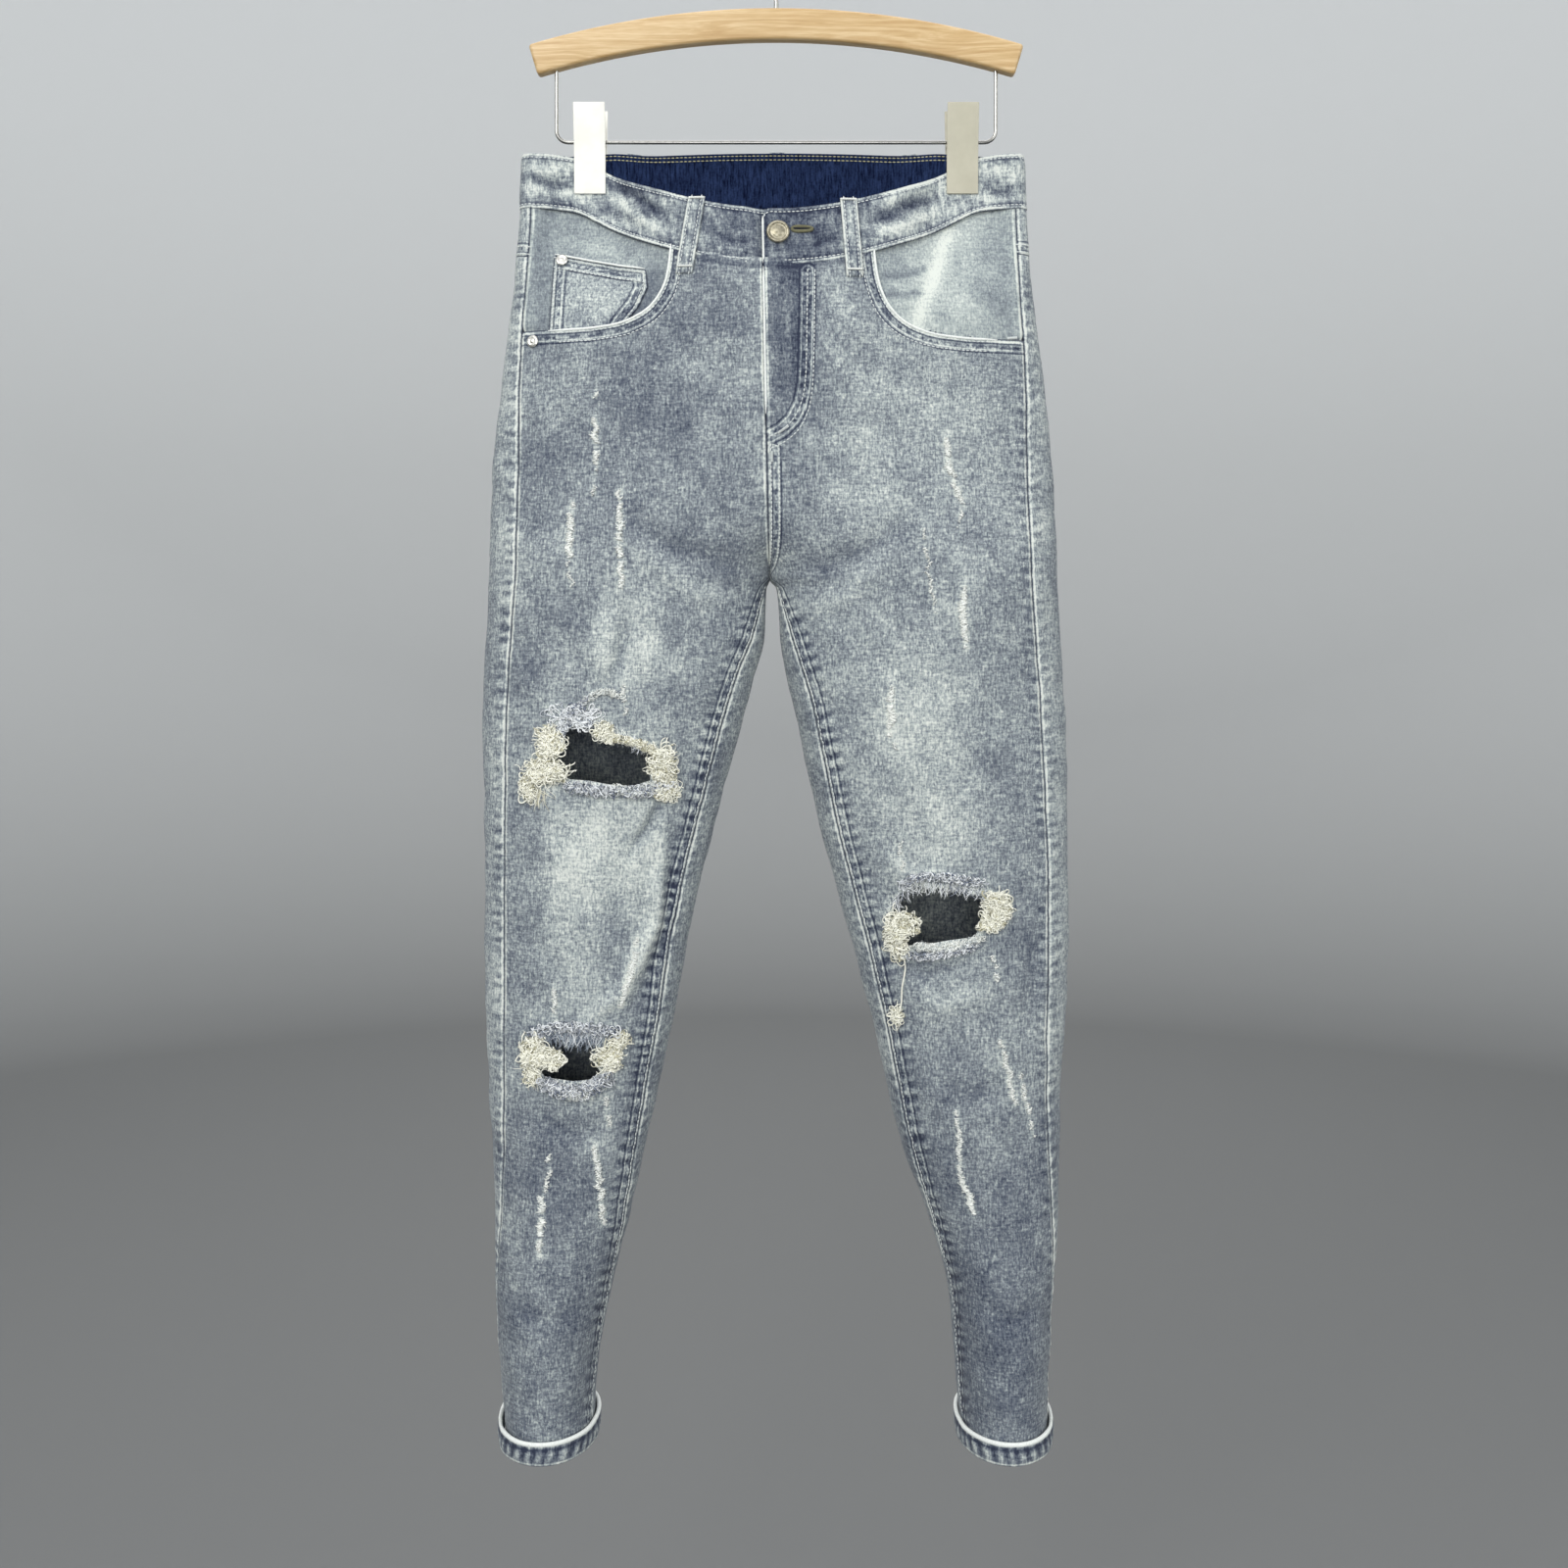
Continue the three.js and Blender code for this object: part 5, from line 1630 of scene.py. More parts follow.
def down_panel(side, panel, first, last, distance):
    """A line down a panel, a distance in from its inner seam."""
    h = np.arange(first, last, 2.5)
    u = 1 - distance / skin(side, panel, 0.5, h)[1]
    return surface(side, panel, u, h, ON_CLOTH)


def across_back(side, gap):
    """A line across a back panel, a gap above the seam of the yoke."""
    u = np.linspace(0, 1, 90)
    h = crossing(side, "back", u, lambda x: yoke_seam(x) - gap)
    return surface(side, "back", u, h, ON_CLOTH)


# The two rows of stitches of the fly, which end where the fly does.
FLY_LINES = (
    [(29, 96), (28.5, 130), (28, 160), (27, 182), (24, 200), (17, 214), (7, 223), (-5, 229)],
    [(23.5, 96), (23, 130), (22.5, 160), (21.5, 180), (18.5, 195), (12.5, 207), (4, 215), (-5, 220)],
)


def smooth_line(points, count=60):
    """A smooth line through points of (x, h)."""
    t = walked(np.array(points, float))
    rows = [[a, b, c] for a, (b, c) in zip(t, points)]
    at = np.linspace(0, t[-1], count)
    return np.stack([curve(rows, 1)(at), curve(rows, 2)(at)], axis=1)


def band_line(share, out):
    """A line round the waistband, up to where it laps."""
    points, normals, _ = band_columns(np.array([share]), np.array([out]), BAND_RUNS[:-1])
    return points[:, 0], normals[:, 0]


class JEANS_OT_stitching(bpy.types.Operator):
    """Adds the topstitching of all seams, pockets, loops and the fly"""

    bl_idname = "jeans.stitching"
    bl_label = "Stitching"

    def execute(self, context):
        rows = [band_line(share, BAND / 2 + 0.05) for share in BAND_ROWS]
        stitches("waistband_stitches", rows)
        rows = [band_line(0.05, -BAND / 2 + 0.1), band_line(0.12, -BAND / 2 - 0.05)]
        stitches("waistband_inner_stitches", rows, "olive")
        for name, side in SIDES.items():
            rows = []
            for margin in (2.4, 9.5):
                line = smooth_line(scoop_line(side, margin, 60)[2:-3], 120)
                rows.append(on_panel(side, "front", line, ON_CLOTH))
            rows.append(down_panel(side, "front", CROTCH + 8, LEG_END - 18, 2.6))
            stitches(f"front_stitches_{name}", rows)
            rows = [across_back(side, gap) for gap in (2.2, 8.0)]
            for inset in (2.4, 8.4):
                line = dense(back_pocket_outline(name, inset))
                rows.append(on_panel(side, "back", line, ON_POCKET))
            corners = np.array(back_pocket_outline(name, 2.0))[[0, -1]]
            for drop in (0.0, 11.0):
                rows.append(on_panel(side, "back", dense(corners + [0, drop]), ON_POCKET))
            if side == LEFT:
                rows += [down_panel(side, "back", 52, CROTCH - 14, gap) for gap in (2.4, 8.2)]
            stitches(f"back_stitches_{name}", rows)
        rows = [
            on_panel(LEFT, "front", [p for p in smooth_line(line) if p[0] > -4], ON_CLOTH)
            for line in FLY_LINES
        ]
        rows += [down_panel(LEFT, "front", FLY_END, CROTCH - 10, gap) for gap in (3.0, 9.0)]
        stitches("fly_stitches", rows)
        mouth = dense([(-167, 80.5), (-99, 94.2)])
        rows = [on_panel(RIGHT, "front", mouth + [0, drop], 0.05) for drop in (0.0, 8.0)]
        left_side = dense([(-166, 90), (-168.5, 148)])
        right_side = dense([(-99, 98), (-99.5, 107), (-106, 123), (-117, 137), (-121, 147)])
        rows += [on_panel(RIGHT, "front", line, 0.05) for line in (left_side, right_side)]
        stitches("small_pocket_stitches", rows)
        for name in LOOPS:
            rows = [loop_path(name, a, LOOP_THICK + 0.1, 30) for a in (-3.6, 3.6)]
            stitches(f"belt_loop_stitches_{name}", rows)
        return {"FINISHED"}


def dense(points, pitch=2.0):
    """Points of an angular line, close together."""
    points = np.array(points, float)
    along = walked(points)
    at = np.linspace(0, along[-1], max(2, int(along[-1] / pitch)))
    return read_off(at, along, points)


def tack(name, points, normals, width, material_name, pitch=0.75):
    """A bar of close stitches across a line."""
    points, normals = resample(points, pitch, normals)
    tangent = unit(np.gradient(points, axis=0))
    across = unit(np.cross(tangent, normals))
    arc = np.linspace(-1, 1, 6)
    paths = (
        points[:, None] + across[:, None] * (arc * width / 2)[None, :, None]
        + normals[:, None] * (0.75 * (1 - arc**2))[None, :, None]
    )
    add_thread(tubes(name, paths, 0.42, 4), material_name)


BUTTONHOLE_X, BUTTONHOLE_H, BUTTONHOLE_HALF = (12.0, 27.0), 64.0, 1.6


class JEANS_OT_tacks(bpy.types.Operator):
    """Adds the buttonhole, the bar tacks and the rubbed rolled edges"""

    bl_idname = "jeans.tacks"
    bl_label = "Buttonhole, tacks and rubbed edges"

    def execute(self, context):
        turn = np.linspace(0, 2 * np.pi, 64)
        first, last = BUTTONHOLE_X
        x = (first + last) / 2 + (last - first) / 2 * np.cos(turn)
        keyhole = 1 + 0.5 * np.clip(-np.cos(turn), 0, 1)
        h = BUTTONHOLE_H + BUTTONHOLE_HALF * np.sin(turn) * keyhole
        at = u_at(LEFT, "front", x, h)
        points, normal = skin(LEFT, "front", at, h)[0], outward(LEFT, "front", at, h)
        tack("buttonhole", points + normal * (BAND / 2 + 0.5), normal, 2.8, "dark_olive", 0.5)
        slot = dense([(first, BUTTONHOLE_H), (last, BUTTONHOLE_H)], 1.0)
        # A dark bead of painted shade fills the buttonhole's slit.
        bead("buttonhole_slot", on_panel(LEFT, "front", slot, BAND / 2 + 0.5)[0], 1.2, "slot")
        for name in LOOPS:
            paths = [loop_path(name, a, LOOP_THICK + 0.2, 61) for a in (-5.2, 0.0, 5.2)]
            for end, row in (("top", 1), ("low", 55)):
                points, normals = np.array([[p[row], n[row]] for p, n in paths]).swapaxes(0, 1)
                tack(f"loop_tack_{end}_{name}", points, normals, 1.8, "white")
        tacks = (
            ("tack_pocket_left", LEFT, [(173, 144), (180, 143)], 2.2),
            ("tack_fly", LEFT, [(2, 217), (9, 212)], 2.0),
            ("tack_fly_low", LEFT, [(-3, 231), (-3, 238)], 2.0),
        )
        for name, side, line, width in tacks:
            tack(name, *on_panel(side, "front", dense(line, 1.0), 0.7), width, "seam_thread")
        for name, side in SIDES.items():
            line = smooth_line(scoop_line(side, 0.5, 60)[1:-3], 160)
            bead(f"pocket_mouth_edge_{name}", on_panel(side, "front", line, 0.55)[0], 0.95)
        share = np.linspace(0.03, 0.99, 30)
        end, _, _ = band_surface(LEFT, "front", np.array([0.9995]), share, BAND / 2 - 0.2, 7.0)
        bead("waistband_end_edge", end[0], 0.8)
        edge = dense([(-167.5, 77.7), (-98.5, 91.4)])
        bead("small_pocket_edge", on_panel(RIGHT, "front", edge, -0.1)[0], 0.8)
        h = np.arange(93.0, 205.0, 2.0)
        bead("fly_edge", surface(LEFT, "front", np.ones(len(h)), h, 0.35)[0], 0.85)
        for name, side in SIDES.items():
            rim = cuff_ring(side, np.array([0.03]), np.array([CUFF_OUT + 0.2]))[0][:, 0]
            bead(f"cuff_edge_{name}", np.concatenate([rim, rim[:1]]), 1.7)
        return {"FINISHED"}


# ---- torn places --------------------------------------------------------------------------


def along_line(draw, count, line):
    """Points at random along a smooth line."""
    line = smooth_line(line, 80)
    return read_off(draw.uniform(0, len(line) - 1, count), np.arange(len(line)), line)


def lay(side, paths):
    """Threads given as (x, h, out) laid over a front panel."""
    x, h, out = paths[..., 0], paths[..., 1], paths[..., 2]
    u = u_at(side, "front", x, h)
    points = skin(side, "front", u, h)[0]
    # Loose threads follow the broad shape of the cloth and not each crease.
    normal = outward(side, "front", u, h)
    height = relief(side, "front", x, h, 60 + 0 * x, 60 + 0 * x)
    return points + normal * (height + out)[..., None]


def walk(draw, place, angle, length, steps, curl, out):
    """Threads that run over the cloth from their starts, bending a little at each step."""
    count = len(place)
    stride = length / (steps - 1)
    turn = draw.normal(0, curl, count)
    paths = np.zeros((count, steps, 3))
    lift = draw.uniform(*out, count)
    for step in range(steps):
        paths[:, step, :2] = place
        paths[:, step, 2] = lift * (0.55 + 0.45 * np.sin(np.pi * step / (steps - 1)))
        turn = turn * 0.8 + draw.normal(0, curl, count) * 0.6
        angle = angle + turn
        place = place + np.stack([np.cos(angle), np.sin(angle)], axis=1) * stride[:, None]
    return paths


def curls(draw, count, centre, radii, high, steps=12):
    """Knotted threads, gathered in clumps within an oval and as high as high."""
    clumps = oval_points(draw, max(4, int(radii[0] * radii[1] / 11)), centre, radii * 0.85)
    own = draw.integers(0, len(clumps), count)
    place = np.zeros((count, 3))
    place[:, :2] = clumps[own] + draw.normal(0, 1.5, (count, 2))
    place[:, 2] = draw.uniform(0.4, high, count)
    heading = unit(draw.normal(0, 1, (count, 3)) * np.array([1, 1, 0.6]))
    spin = unit(draw.normal(0, 1, (count, 3)))
    bend = draw.uniform(0.15, 0.75, count)[:, None]
    stride = draw.uniform(6, 22, count)[:, None] / (steps - 1)
    paths = np.zeros((count, steps, 3))
    for step in range(steps):
        paths[:, step] = place
        spin = unit(spin + draw.normal(0, 0.35, (count, 3)))
        heading = unit(heading + np.cross(spin, heading) * bend)
        away = (place[:, :2] - centre) / radii
        beyond = np.maximum(0, np.hypot(away[:, 0], away[:, 1]) - 1)[:, None]
        heading[:, :2] -= 0.9 * beyond * unit(away)
        heading[:, 2] = np.where(place[:, 2] > high, -0.5, heading[:, 2])
        heading[:, 2] = np.where(place[:, 2] < 0.4, 0.5, heading[:, 2])
        heading = unit(heading)
        place = place + heading * stride
    return paths


def thread_tones(draw, count):
    """Most threads are light, and some are painted dark as shade deep in the tangle."""
    return np.where(draw.uniform(0, 1, count) < 0.16, draw.uniform(0, 0.4, count),
                    draw.uniform(0.75, 1.15, count))


def oval_points(draw, count, centre, radii):
    angle = draw.uniform(0, 2 * np.pi, count)
    size = np.sqrt(draw.uniform(0, 1, count))
    return np.stack(
        [centre[0] + radii[0] * size * np.cos(angle), centre[1] + radii[1] * size * np.sin(angle)],
        axis=1)


# Tufts of torn cotton: hole, centre (x, h), half width, half height, height out, share of
# the usual number of threads, and the thread.
TUFTS = [
    ("thigh", (-167, 445), (8.5, 9.5), 4.5, 0.75, "cream"),
    ("thigh", (-170, 466), (15.5, 7), 5.5, 1.0, "cream"),
    ("thigh", (-183, 478), (5, 9), 3.0, 0.3, "cream"),
    ("thigh", (-84, 462), (7.5, 16), 4.5, 0.8, "cream"),
    ("thigh", (-80, 480), (7, 6.5), 4.0, 0.35, "cream"),
    ("thigh", (-126, 437), (5.5, 6), 3.5, 0.35, "cream"),
    ("thigh", (-150, 426), (18, 7), 2.0, 0.35, "pale_blue"),
    ("shin", (-177, 673), (8.5, 9.5), 5.5, 0.9, "cream"),
    ("shin", (-166, 680), (8, 5), 4.0, 0.4, "cream"),
    ("shin", (-180, 689), (4, 9), 3.0, 0.25, "cream"),
    ("shin", (-126, 679), (7.5, 10.5), 5.0, 0.7, "cream"),
    ("shin", (-117, 668), (5, 7), 3.5, 0.25, "cream"),
    ("knee", (90, 585), (5.5, 20), 5.0, 0.95, "cream"),
    ("knee", (100, 579), (6, 5.5), 3.5, 0.25, "cream"),
    ("knee", (163.5, 566), (7.5, 10), 4.5, 0.65, "cream"),
    ("knee", (157, 577), (8, 5.5), 3.5, 0.35, "cream"),
    ("knee", (91, 650), (3, 6.5), 4.0, 0.16, "cream"),
]
# Rolls of fuzz along torn edges: hole, line of (x, h), half thickness, threads, the thread.
ROLLS = [
    ("thigh", [(-152, 477), (-132, 480), (-112, 481), (-90, 480), (-80, 474)], 3.4, 300, "pale_blue"),
    ("thigh", [(-118, 479), (-102, 481), (-88, 477)], 2.8, 190, "white"),
    ("thigh", [(-120, 441), (-106, 444), (-92, 450), (-86, 456)], 2.3, 210, "cream"),
    ("thigh", [(-160, 446), (-157, 436), (-150, 424), (-139, 413)], 2.4, 130, "pale_blue"),
    ("thigh", [(-144, 418), (-134, 410), (-124, 407), (-115, 411)], 1.6, 60, "white"),
    ("shin", [(-180, 661), (-160, 655), (-138, 656), (-118, 660)], 3.2, 190, "pale_blue"),
    ("shin", [(-170, 697), (-156, 703), (-140, 702), (-124, 694)], 4.2, 300, "pale_blue"),
    ("shin", [(-160, 704), (-146, 707), (-136, 703)], 2.6, 90, "white"),
    ("knee", [(94, 550), (108, 544), (130, 545), (152, 549)], 2.8, 200, "pale_blue"),
    ("knee", [(104, 596), (122, 597), (138, 594), (150, 590)], 2.0, 260, "white"),
    ("knee", [(94, 603), (110, 604), (126, 601), (146, 596)], 2.4, 150, "pale_blue"),
]
# Hanging ends: hole, line along which they start, length range, threads, thread.
FRINGES = [
    ("thigh", [(-176, 446), (-160, 432), (-140, 424), (-128, 432), (-106, 442), (-88, 450)],
     (3, 10), 150, "pale_blue"),
    ("thigh", [(-160, 430), (-130, 428), (-96, 447)], (3, 7), 60, "white"),
    ("shin", [(-178, 662), (-160, 658), (-140, 660), (-118, 664)], (5, 15), 170, "blue"),
    ("shin", [(-176, 660), (-150, 659), (-124, 662)], (4, 11), 90, "pale_blue"),
    ("knee", [(88, 566), (98, 553), (120, 550), (146, 553), (162, 558)], (3, 9), 130, "pale_blue"),
    ("knee", [(100, 552), (130, 550), (160, 557)], (3, 7), 60, "white"),
    ("thigh", [(-182, 476), (-172, 482), (-166, 482)], (6, 14), 30, "cream"),
    ("shin", [(-184, 688), (-178, 690)], (6, 14), 18, "cream"),
]


def tuft_pad(name, side, centre, radii, high, material_name, draw):
    """The felted heart of a tuft: a lumpy low mound, closed below."""
    rings, spokes = 9, 36
    angle = np.linspace(0, 2 * np.pi, spokes, endpoint=False)
    lobes = 1 + 0.16 * np.sin(2 * angle + draw.uniform(0, 6)) + 0.10 * np.sin(
        5 * angle + draw.uniform(0, 6)) + 0.05 * np.sin(9 * angle + draw.uniform(0, 6))
    size = np.linspace(0, 1, rings)[1:]
    x = centre[0] + radii[0] * 0.72 * size[:, None] * (lobes * np.cos(angle))[None]
    h = centre[1] + radii[1] * 0.72 * size[:, None] * (lobes * np.sin(angle))[None]
    dome = high * 0.4 * np.sqrt(np.maximum(0, 1 - size**2))[:, None]
    lumps = 1 + 0.5 * waves(x, h, int(draw.integers(1000)), 6)
    top = lay(side, np.stack([x, h, 0.4 + dome * lumps], axis=-1))
    low = lay(side, np.stack([x, h, 0.1 - 0.8 * np.sqrt(1 - size**2)[:, None] + 0 * x], axis=-1))
    heart = lay(side, np.array([[[centre[0], centre[1], 0.4 + high * 0.4]],
                                [[centre[0], centre[1], -0.8]]]))
    points = np.concatenate([heart[:, 0], top.reshape(-1, 3), low[:-1].reshape(-1, 3)])
    faces = []
    for k in range(spokes):
        k1 = (k + 1) % spokes
        faces.append((0, 2 + k, 2 + k1))
        for r in range(rings - 2):
            a, b = 2 + r * spokes, 2 + (r + 1) * spokes
            faces.append((a + k, b + k, b + k1, a + k1))
        below = 2 + (rings - 1) * spokes
        faces.append((1, below + k1, below + k))
        for r in range(rings - 2):
            a = below + r * spokes
            b = below + (r + 1) * spokes if r < rings - 3 else 2 + (rings - 2) * spokes
            faces.append((a + k1, b + k1, b + k, a + k))
    mesh = make_mesh(name, points, faces)
    recalculate_outside(mesh)
    # The heart is painted a little darker than most threads, as shade between them.
    write_attribute(mesh, "tone", np.full(len(points), 0.6))
    add_thread(mesh, material_name)


class JEANS_OT_torn_places(bpy.types.Operator):
    """Adds the tufts, rolls and fringes of loose threads at the three rips"""

    bl_idname = "jeans.torn_places"
    bl_label = "Torn places"

    def execute(self, context):
        sizes = context.scene.jeans_sizes
        for number, (hole, centre, radii, high, share, thread) in enumerate(TUFTS):
            side = RIPS[hole][0]
            draw = np.random.default_rng(sizes.seed * 100 + number)
            centre, radii = np.array(centre, float), np.array(radii, float)
            if high >= 4:
                tuft_pad(f"tuft_heart_{hole}_{number}", side, centre, radii, high, thread, draw)
            count = int(sizes.tear_threads * share)
            paths = curls(draw, count, centre, radii, high)
            mesh = tubes(
                f"tuft_{hole}_{number}", lay(side, paths), draw.uniform(0.34, 0.68, count),
                tone=thread_tones(draw, count))
            add_thread(mesh, thread)
        for number, (hole, line, thick, count, thread) in enumerate(ROLLS):
            side = RIPS[hole][0]
            draw = np.random.default_rng(sizes.seed * 100 + 40 + number)
            middle = along_line(draw, count, line)
            paths = curls(draw, count, np.zeros(2), np.array([thick * 1.5, thick]), thick * 1.3, 10)
            paths[..., :2] = paths[..., :2] * 0.8 + middle[:, None]
            mesh = tubes(
                f"roll_{hole}_{number}", lay(side, paths), draw.uniform(0.32, 0.62, count),
                tone=draw.uniform(0, 1.1, count))
            add_thread(mesh, thread)
        for number, (hole, line, span, count, thread) in enumerate(FRINGES):
            side = RIPS[hole][0]
            draw = np.random.default_rng(sizes.seed * 100 + 70 + number)
            start = along_line(draw, count, line)
            start[:, 1] -= draw.uniform(0.5, 4.5, count)
            paths = walk(
                draw, start, np.pi / 2 + draw.normal(0, 0.22, count),
                draw.uniform(*span, count) + 4, 9, 0.12, out=(0.5, 2.0))
            paths[..., 2] = np.linspace(0.5, 1, 9)[None] * paths[..., 2]
            mesh = tubes(
                f"fringe_{hole}_{number}", lay(side, paths), draw.uniform(0.18, 0.34, count),
                tone=draw.uniform(0.1, 1, count))
            add_thread(mesh, thread)
        hanging = smooth_line([(95, 602), (96, 614), (94.5, 628), (94, 640), (92, 650)], 40)
        path = np.concatenate([hanging, 2.2 + 0 * hanging[:, :1]], axis=1)[None]
        add_thread(tubes("hanging_thread", lay(LEFT, path), 0.6, 5), "cream")
        return {"FINISHED"}


class JEANS_OT_slashes(bpy.types.Operator):
    """Adds the bared white weft along the slashes"""

    bl_idname = "jeans.slashes"
    bl_label = "Slashes"

    def execute(self, context):
        seed = context.scene.jeans_sizes.seed
        paths = {RIGHT: [], LEFT: []}
        draw = np.random.default_rng(seed)
        for number, (side, line, strength) in enumerate(SLASHES):
            points = dense(line, 0.27 / max(strength, 0.3))
            # The weft is bared in short runs, with whole cloth between them.
            bared = waves(points[:, 0], points[:, 1], 300 + number, 9) > -0.55 * strength
            points = points[bared]
            count = len(points)
            taper = np.sqrt(np.sin(np.pi * np.linspace(0.08, 0.92, count)))
            half = draw.uniform(0.6, 3.2, count) * (0.4 + 0.6 * strength) * taper
            steps = 6
            reach = np.linspace(-1, 1, steps)[None] * half[:, None]
            wander = 1.5 * waves(points[:, :1], points[:, 1:], 400 + number, 9)
            x = points[:, :1] + wander + draw.normal(0, 0.55, (count, 1)) + reach
            slant = draw.normal(0, 0.45, (count, 1))
            h = points[:, 1:] + slant * reach + draw.normal(0, 0.22, (count, steps))
            arc = draw.uniform(0.1, 1.3, (count, 1)) * (1 - np.linspace(-1, 1, steps) ** 2)[None]
            paths[side].append(np.stack([x, h, 0.85 + arc], axis=-1))
        for name, side in SIDES.items():
            laid = np.concatenate(paths[side])
            mesh = tubes(
                f"slash_threads_{name}", lay(side, laid), draw.uniform(0.34, 0.62, len(laid)),
                tone=draw.uniform(0.4, 1, len(laid)))
            add_thread(mesh, "white")
        return {"FINISHED"}


# ---- button and rivets --------------------------------------------------------------------


def deselect_all():
    bpy.ops.object.select_all(action="DESELECT")


def added(name):
    """The piece just added, named, with its place and turn written into its mesh."""
    piece = bpy.context.object
    piece.name = name
    bpy.ops.object.transform_apply(location=True, rotation=True, scale=True)
    return piece


def edit_all():
    bpy.ops.object.mode_set(mode="EDIT")
    bpy.ops.mesh.select_all(action="SELECT")


def extrude(shift):
    bpy.ops.mesh.extrude_region_move(TRANSFORM_OT_translate={"value": shift})


def end_edit(inside=False):
    """Turns all faces the same way, and leaves edit mode."""
    bpy.ops.mesh.select_all(action="SELECT")
    bpy.ops.mesh.normals_make_consistent(inside=inside)
    bpy.ops.object.mode_set(mode="OBJECT")


def disc(name, radius, thickness, segments):
    """A disc on the origin, in edit mode with its top selected."""
    deselect_all()
    bpy.ops.mesh.primitive_cylinder_add(
        vertices=segments, radius=radius * MM, depth=thickness * MM,
        location=(0, 0, thickness * MM / 2))
    piece = added(name)
    for part in (piece.data.vertices, piece.data.edges, piece.data.polygons):
        part.foreach_set("select", np.zeros(len(part), bool))
    for face in piece.data.polygons:
        face.select = face.normal.z > 0.9
    bpy.ops.object.mode_set(mode="EDIT")
    bpy.ops.mesh.select_mode(type="FACE")
    return piece


def step_in(steps):
    """Insets the selected top and moves it along Z, step by step, and leaves edit mode."""
    for inset, rise in steps:
        bpy.ops.mesh.inset(thickness=inset * MM)
        bpy.ops.transform.translate(value=(0, 0, rise * MM))
    bpy.ops.object.mode_set(mode="OBJECT")


def put_on_front(piece, x, h, out):
    """Sets a piece made at the origin along Z onto the front at x, h."""
    side = side_of(x, h)
    u = u_at(side, "front", x, h)
    normal = outward(side, "front", u, h)
    point = skin(side, "front", u, h)[0] + normal * out
    turn = Vector((0, 0, 1)).rotation_difference(Vector(normal))
    piece.data.transform(Matrix.Translation(Vector(point) * MM) @ turn.to_matrix().to_4x4())


def finish_hard(piece, material_name, node, bevel=0.0, segments=2, angle=30):
    if bevel:
        apply_modifier(
            piece, "BEVEL", width=bevel * MM, segments=segments, limit_method="ANGLE",
            angle_limit=math.radians(angle))
    take(piece)
    bpy.ops.object.shade_smooth_by_angle(angle=math.radians(40))
    piece.data.materials.append(material(material_name))
    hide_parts(node)
    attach(piece, "root")


BUTTON_X, BUTTON_H, BUTTON_RADIUS, SHANK_RADIUS = 1.5, 67.0, 8.6, 4.2
# The steps of the tops, as (inset, rise), from the rim inwards.
BUTTON_STEPS = (
    (1.0, 0.7), (0.9, -0.1), (0.5, -0.75), (1.5, 0.05), (0.5, 0.35), (1.6, 0.25), (1.4, 0.08),
)
RIVET_STEPS = ((0.7, 0.45), (0.8, 0.3), (0.6, -0.25), (0.9, -0.1), (0.5, 0.5))
RIVET_PLACES = {
    "rivet_pocket": (-182.0, 146.0, 1.15), "rivet_coin_pocket": (-162.0, 83.0, 0.55),
}
RIVET_RADIUS = 4.6


class JEANS_OT_button(bpy.types.Operator):
    """Adds the shank button"""

    bl_idname = "jeans.button"
    bl_label = "Button"

    def execute(self, context):
        cap = disc("button_cap", SHANK_RADIUS, 1.7, 40)
        bpy.ops.mesh.extrude_region_move()
        bpy.ops.transform.resize(value=(BUTTON_RADIUS / SHANK_RADIUS,) * 3)
        extrude((0, 0, 1.3 * MM))
        step_in(BUTTON_STEPS)
        put_on_front(cap, BUTTON_X, BUTTON_H, BAND / 2 + 0.3)
        finish_hard(cap, "button", "button", 0.22)
        return {"FINISHED"}


class JEANS_OT_rivets(bpy.types.Operator):
    """Adds the two rivets of the right front pocket"""

    bl_idname = "jeans.rivets"
    bl_label = "Rivets"

    def execute(self, context):
        for name, (x, h, out) in RIVET_PLACES.items():
            head = disc(f"{name}_head", RIVET_RADIUS, 0.7, 28)
            step_in(RIVET_STEPS)
            put_on_front(head, x, h, out)
            finish_hard(head, "rivet", name, 0.15)
        return {"FINISHED"}


# ---- hanger -------------------------------------------------------------------------------

BAR_HALF, BAR_HEIGHT, BAR_DEPTH, BAR_RISE, BAR_TOP = 189.0, 24.0, 12.0, 28.0, -68.0
BAR_RADIUS = (BAR_HALF**2 + BAR_RISE**2) / (2 * BAR_RISE)
BAR_CENTRE_Z = BAR_TOP - BAR_RADIUS
WIRE_RADIUS, WIRE_X, WIRE_Z, WIRE_BEND, WIRE_INTO = 1.5, 168.0, WAIST_Z + 10.5, 9.0, 9.0
HOOK_RADIUS, HOOK_INNER, HOOK_NECK, HOOK_INTO = 1.9, 20.0, -56.0, 9.0
HOOK_BEGIN, HOOK_END = -62.0, 205.0  # directions from the hook's middle, in degrees


class JEANS_OT_hanger_bar(bpy.types.Operator):
    """Adds the curved wooden bar"""

    bl_idname = "jeans.hanger_bar"
    bl_label = "Wooden bar"

    def execute(self, context):
        deselect_all()
        bpy.ops.mesh.primitive_grid_add(
            x_subdivisions=72, y_subdivisions=2, size=1.0,
            location=(0, -BAR_DEPTH * MM / 2, 0), rotation=(math.radians(90), 0, 0))
        bar = added("wooden_bar")
        edit_all()
        extrude((0, BAR_DEPTH * MM, 0))
        end_edit()
        widest = math.asin(BAR_HALF / BAR_RADIUS)
        for vertex in bar.data.vertices:
            angle = vertex.co.x * 2 * widest
            radius = BAR_RADIUS - BAR_HEIGHT * (0.5 - vertex.co.z)
            vertex.co.x = radius * math.sin(angle) * MM
            vertex.co.z = (BAR_CENTRE_Z + radius * math.cos(angle)) * MM
        finish_hard(bar, "wood", "hanger_bar", 2.6, 4, 40)
        return {"FINISHED"}


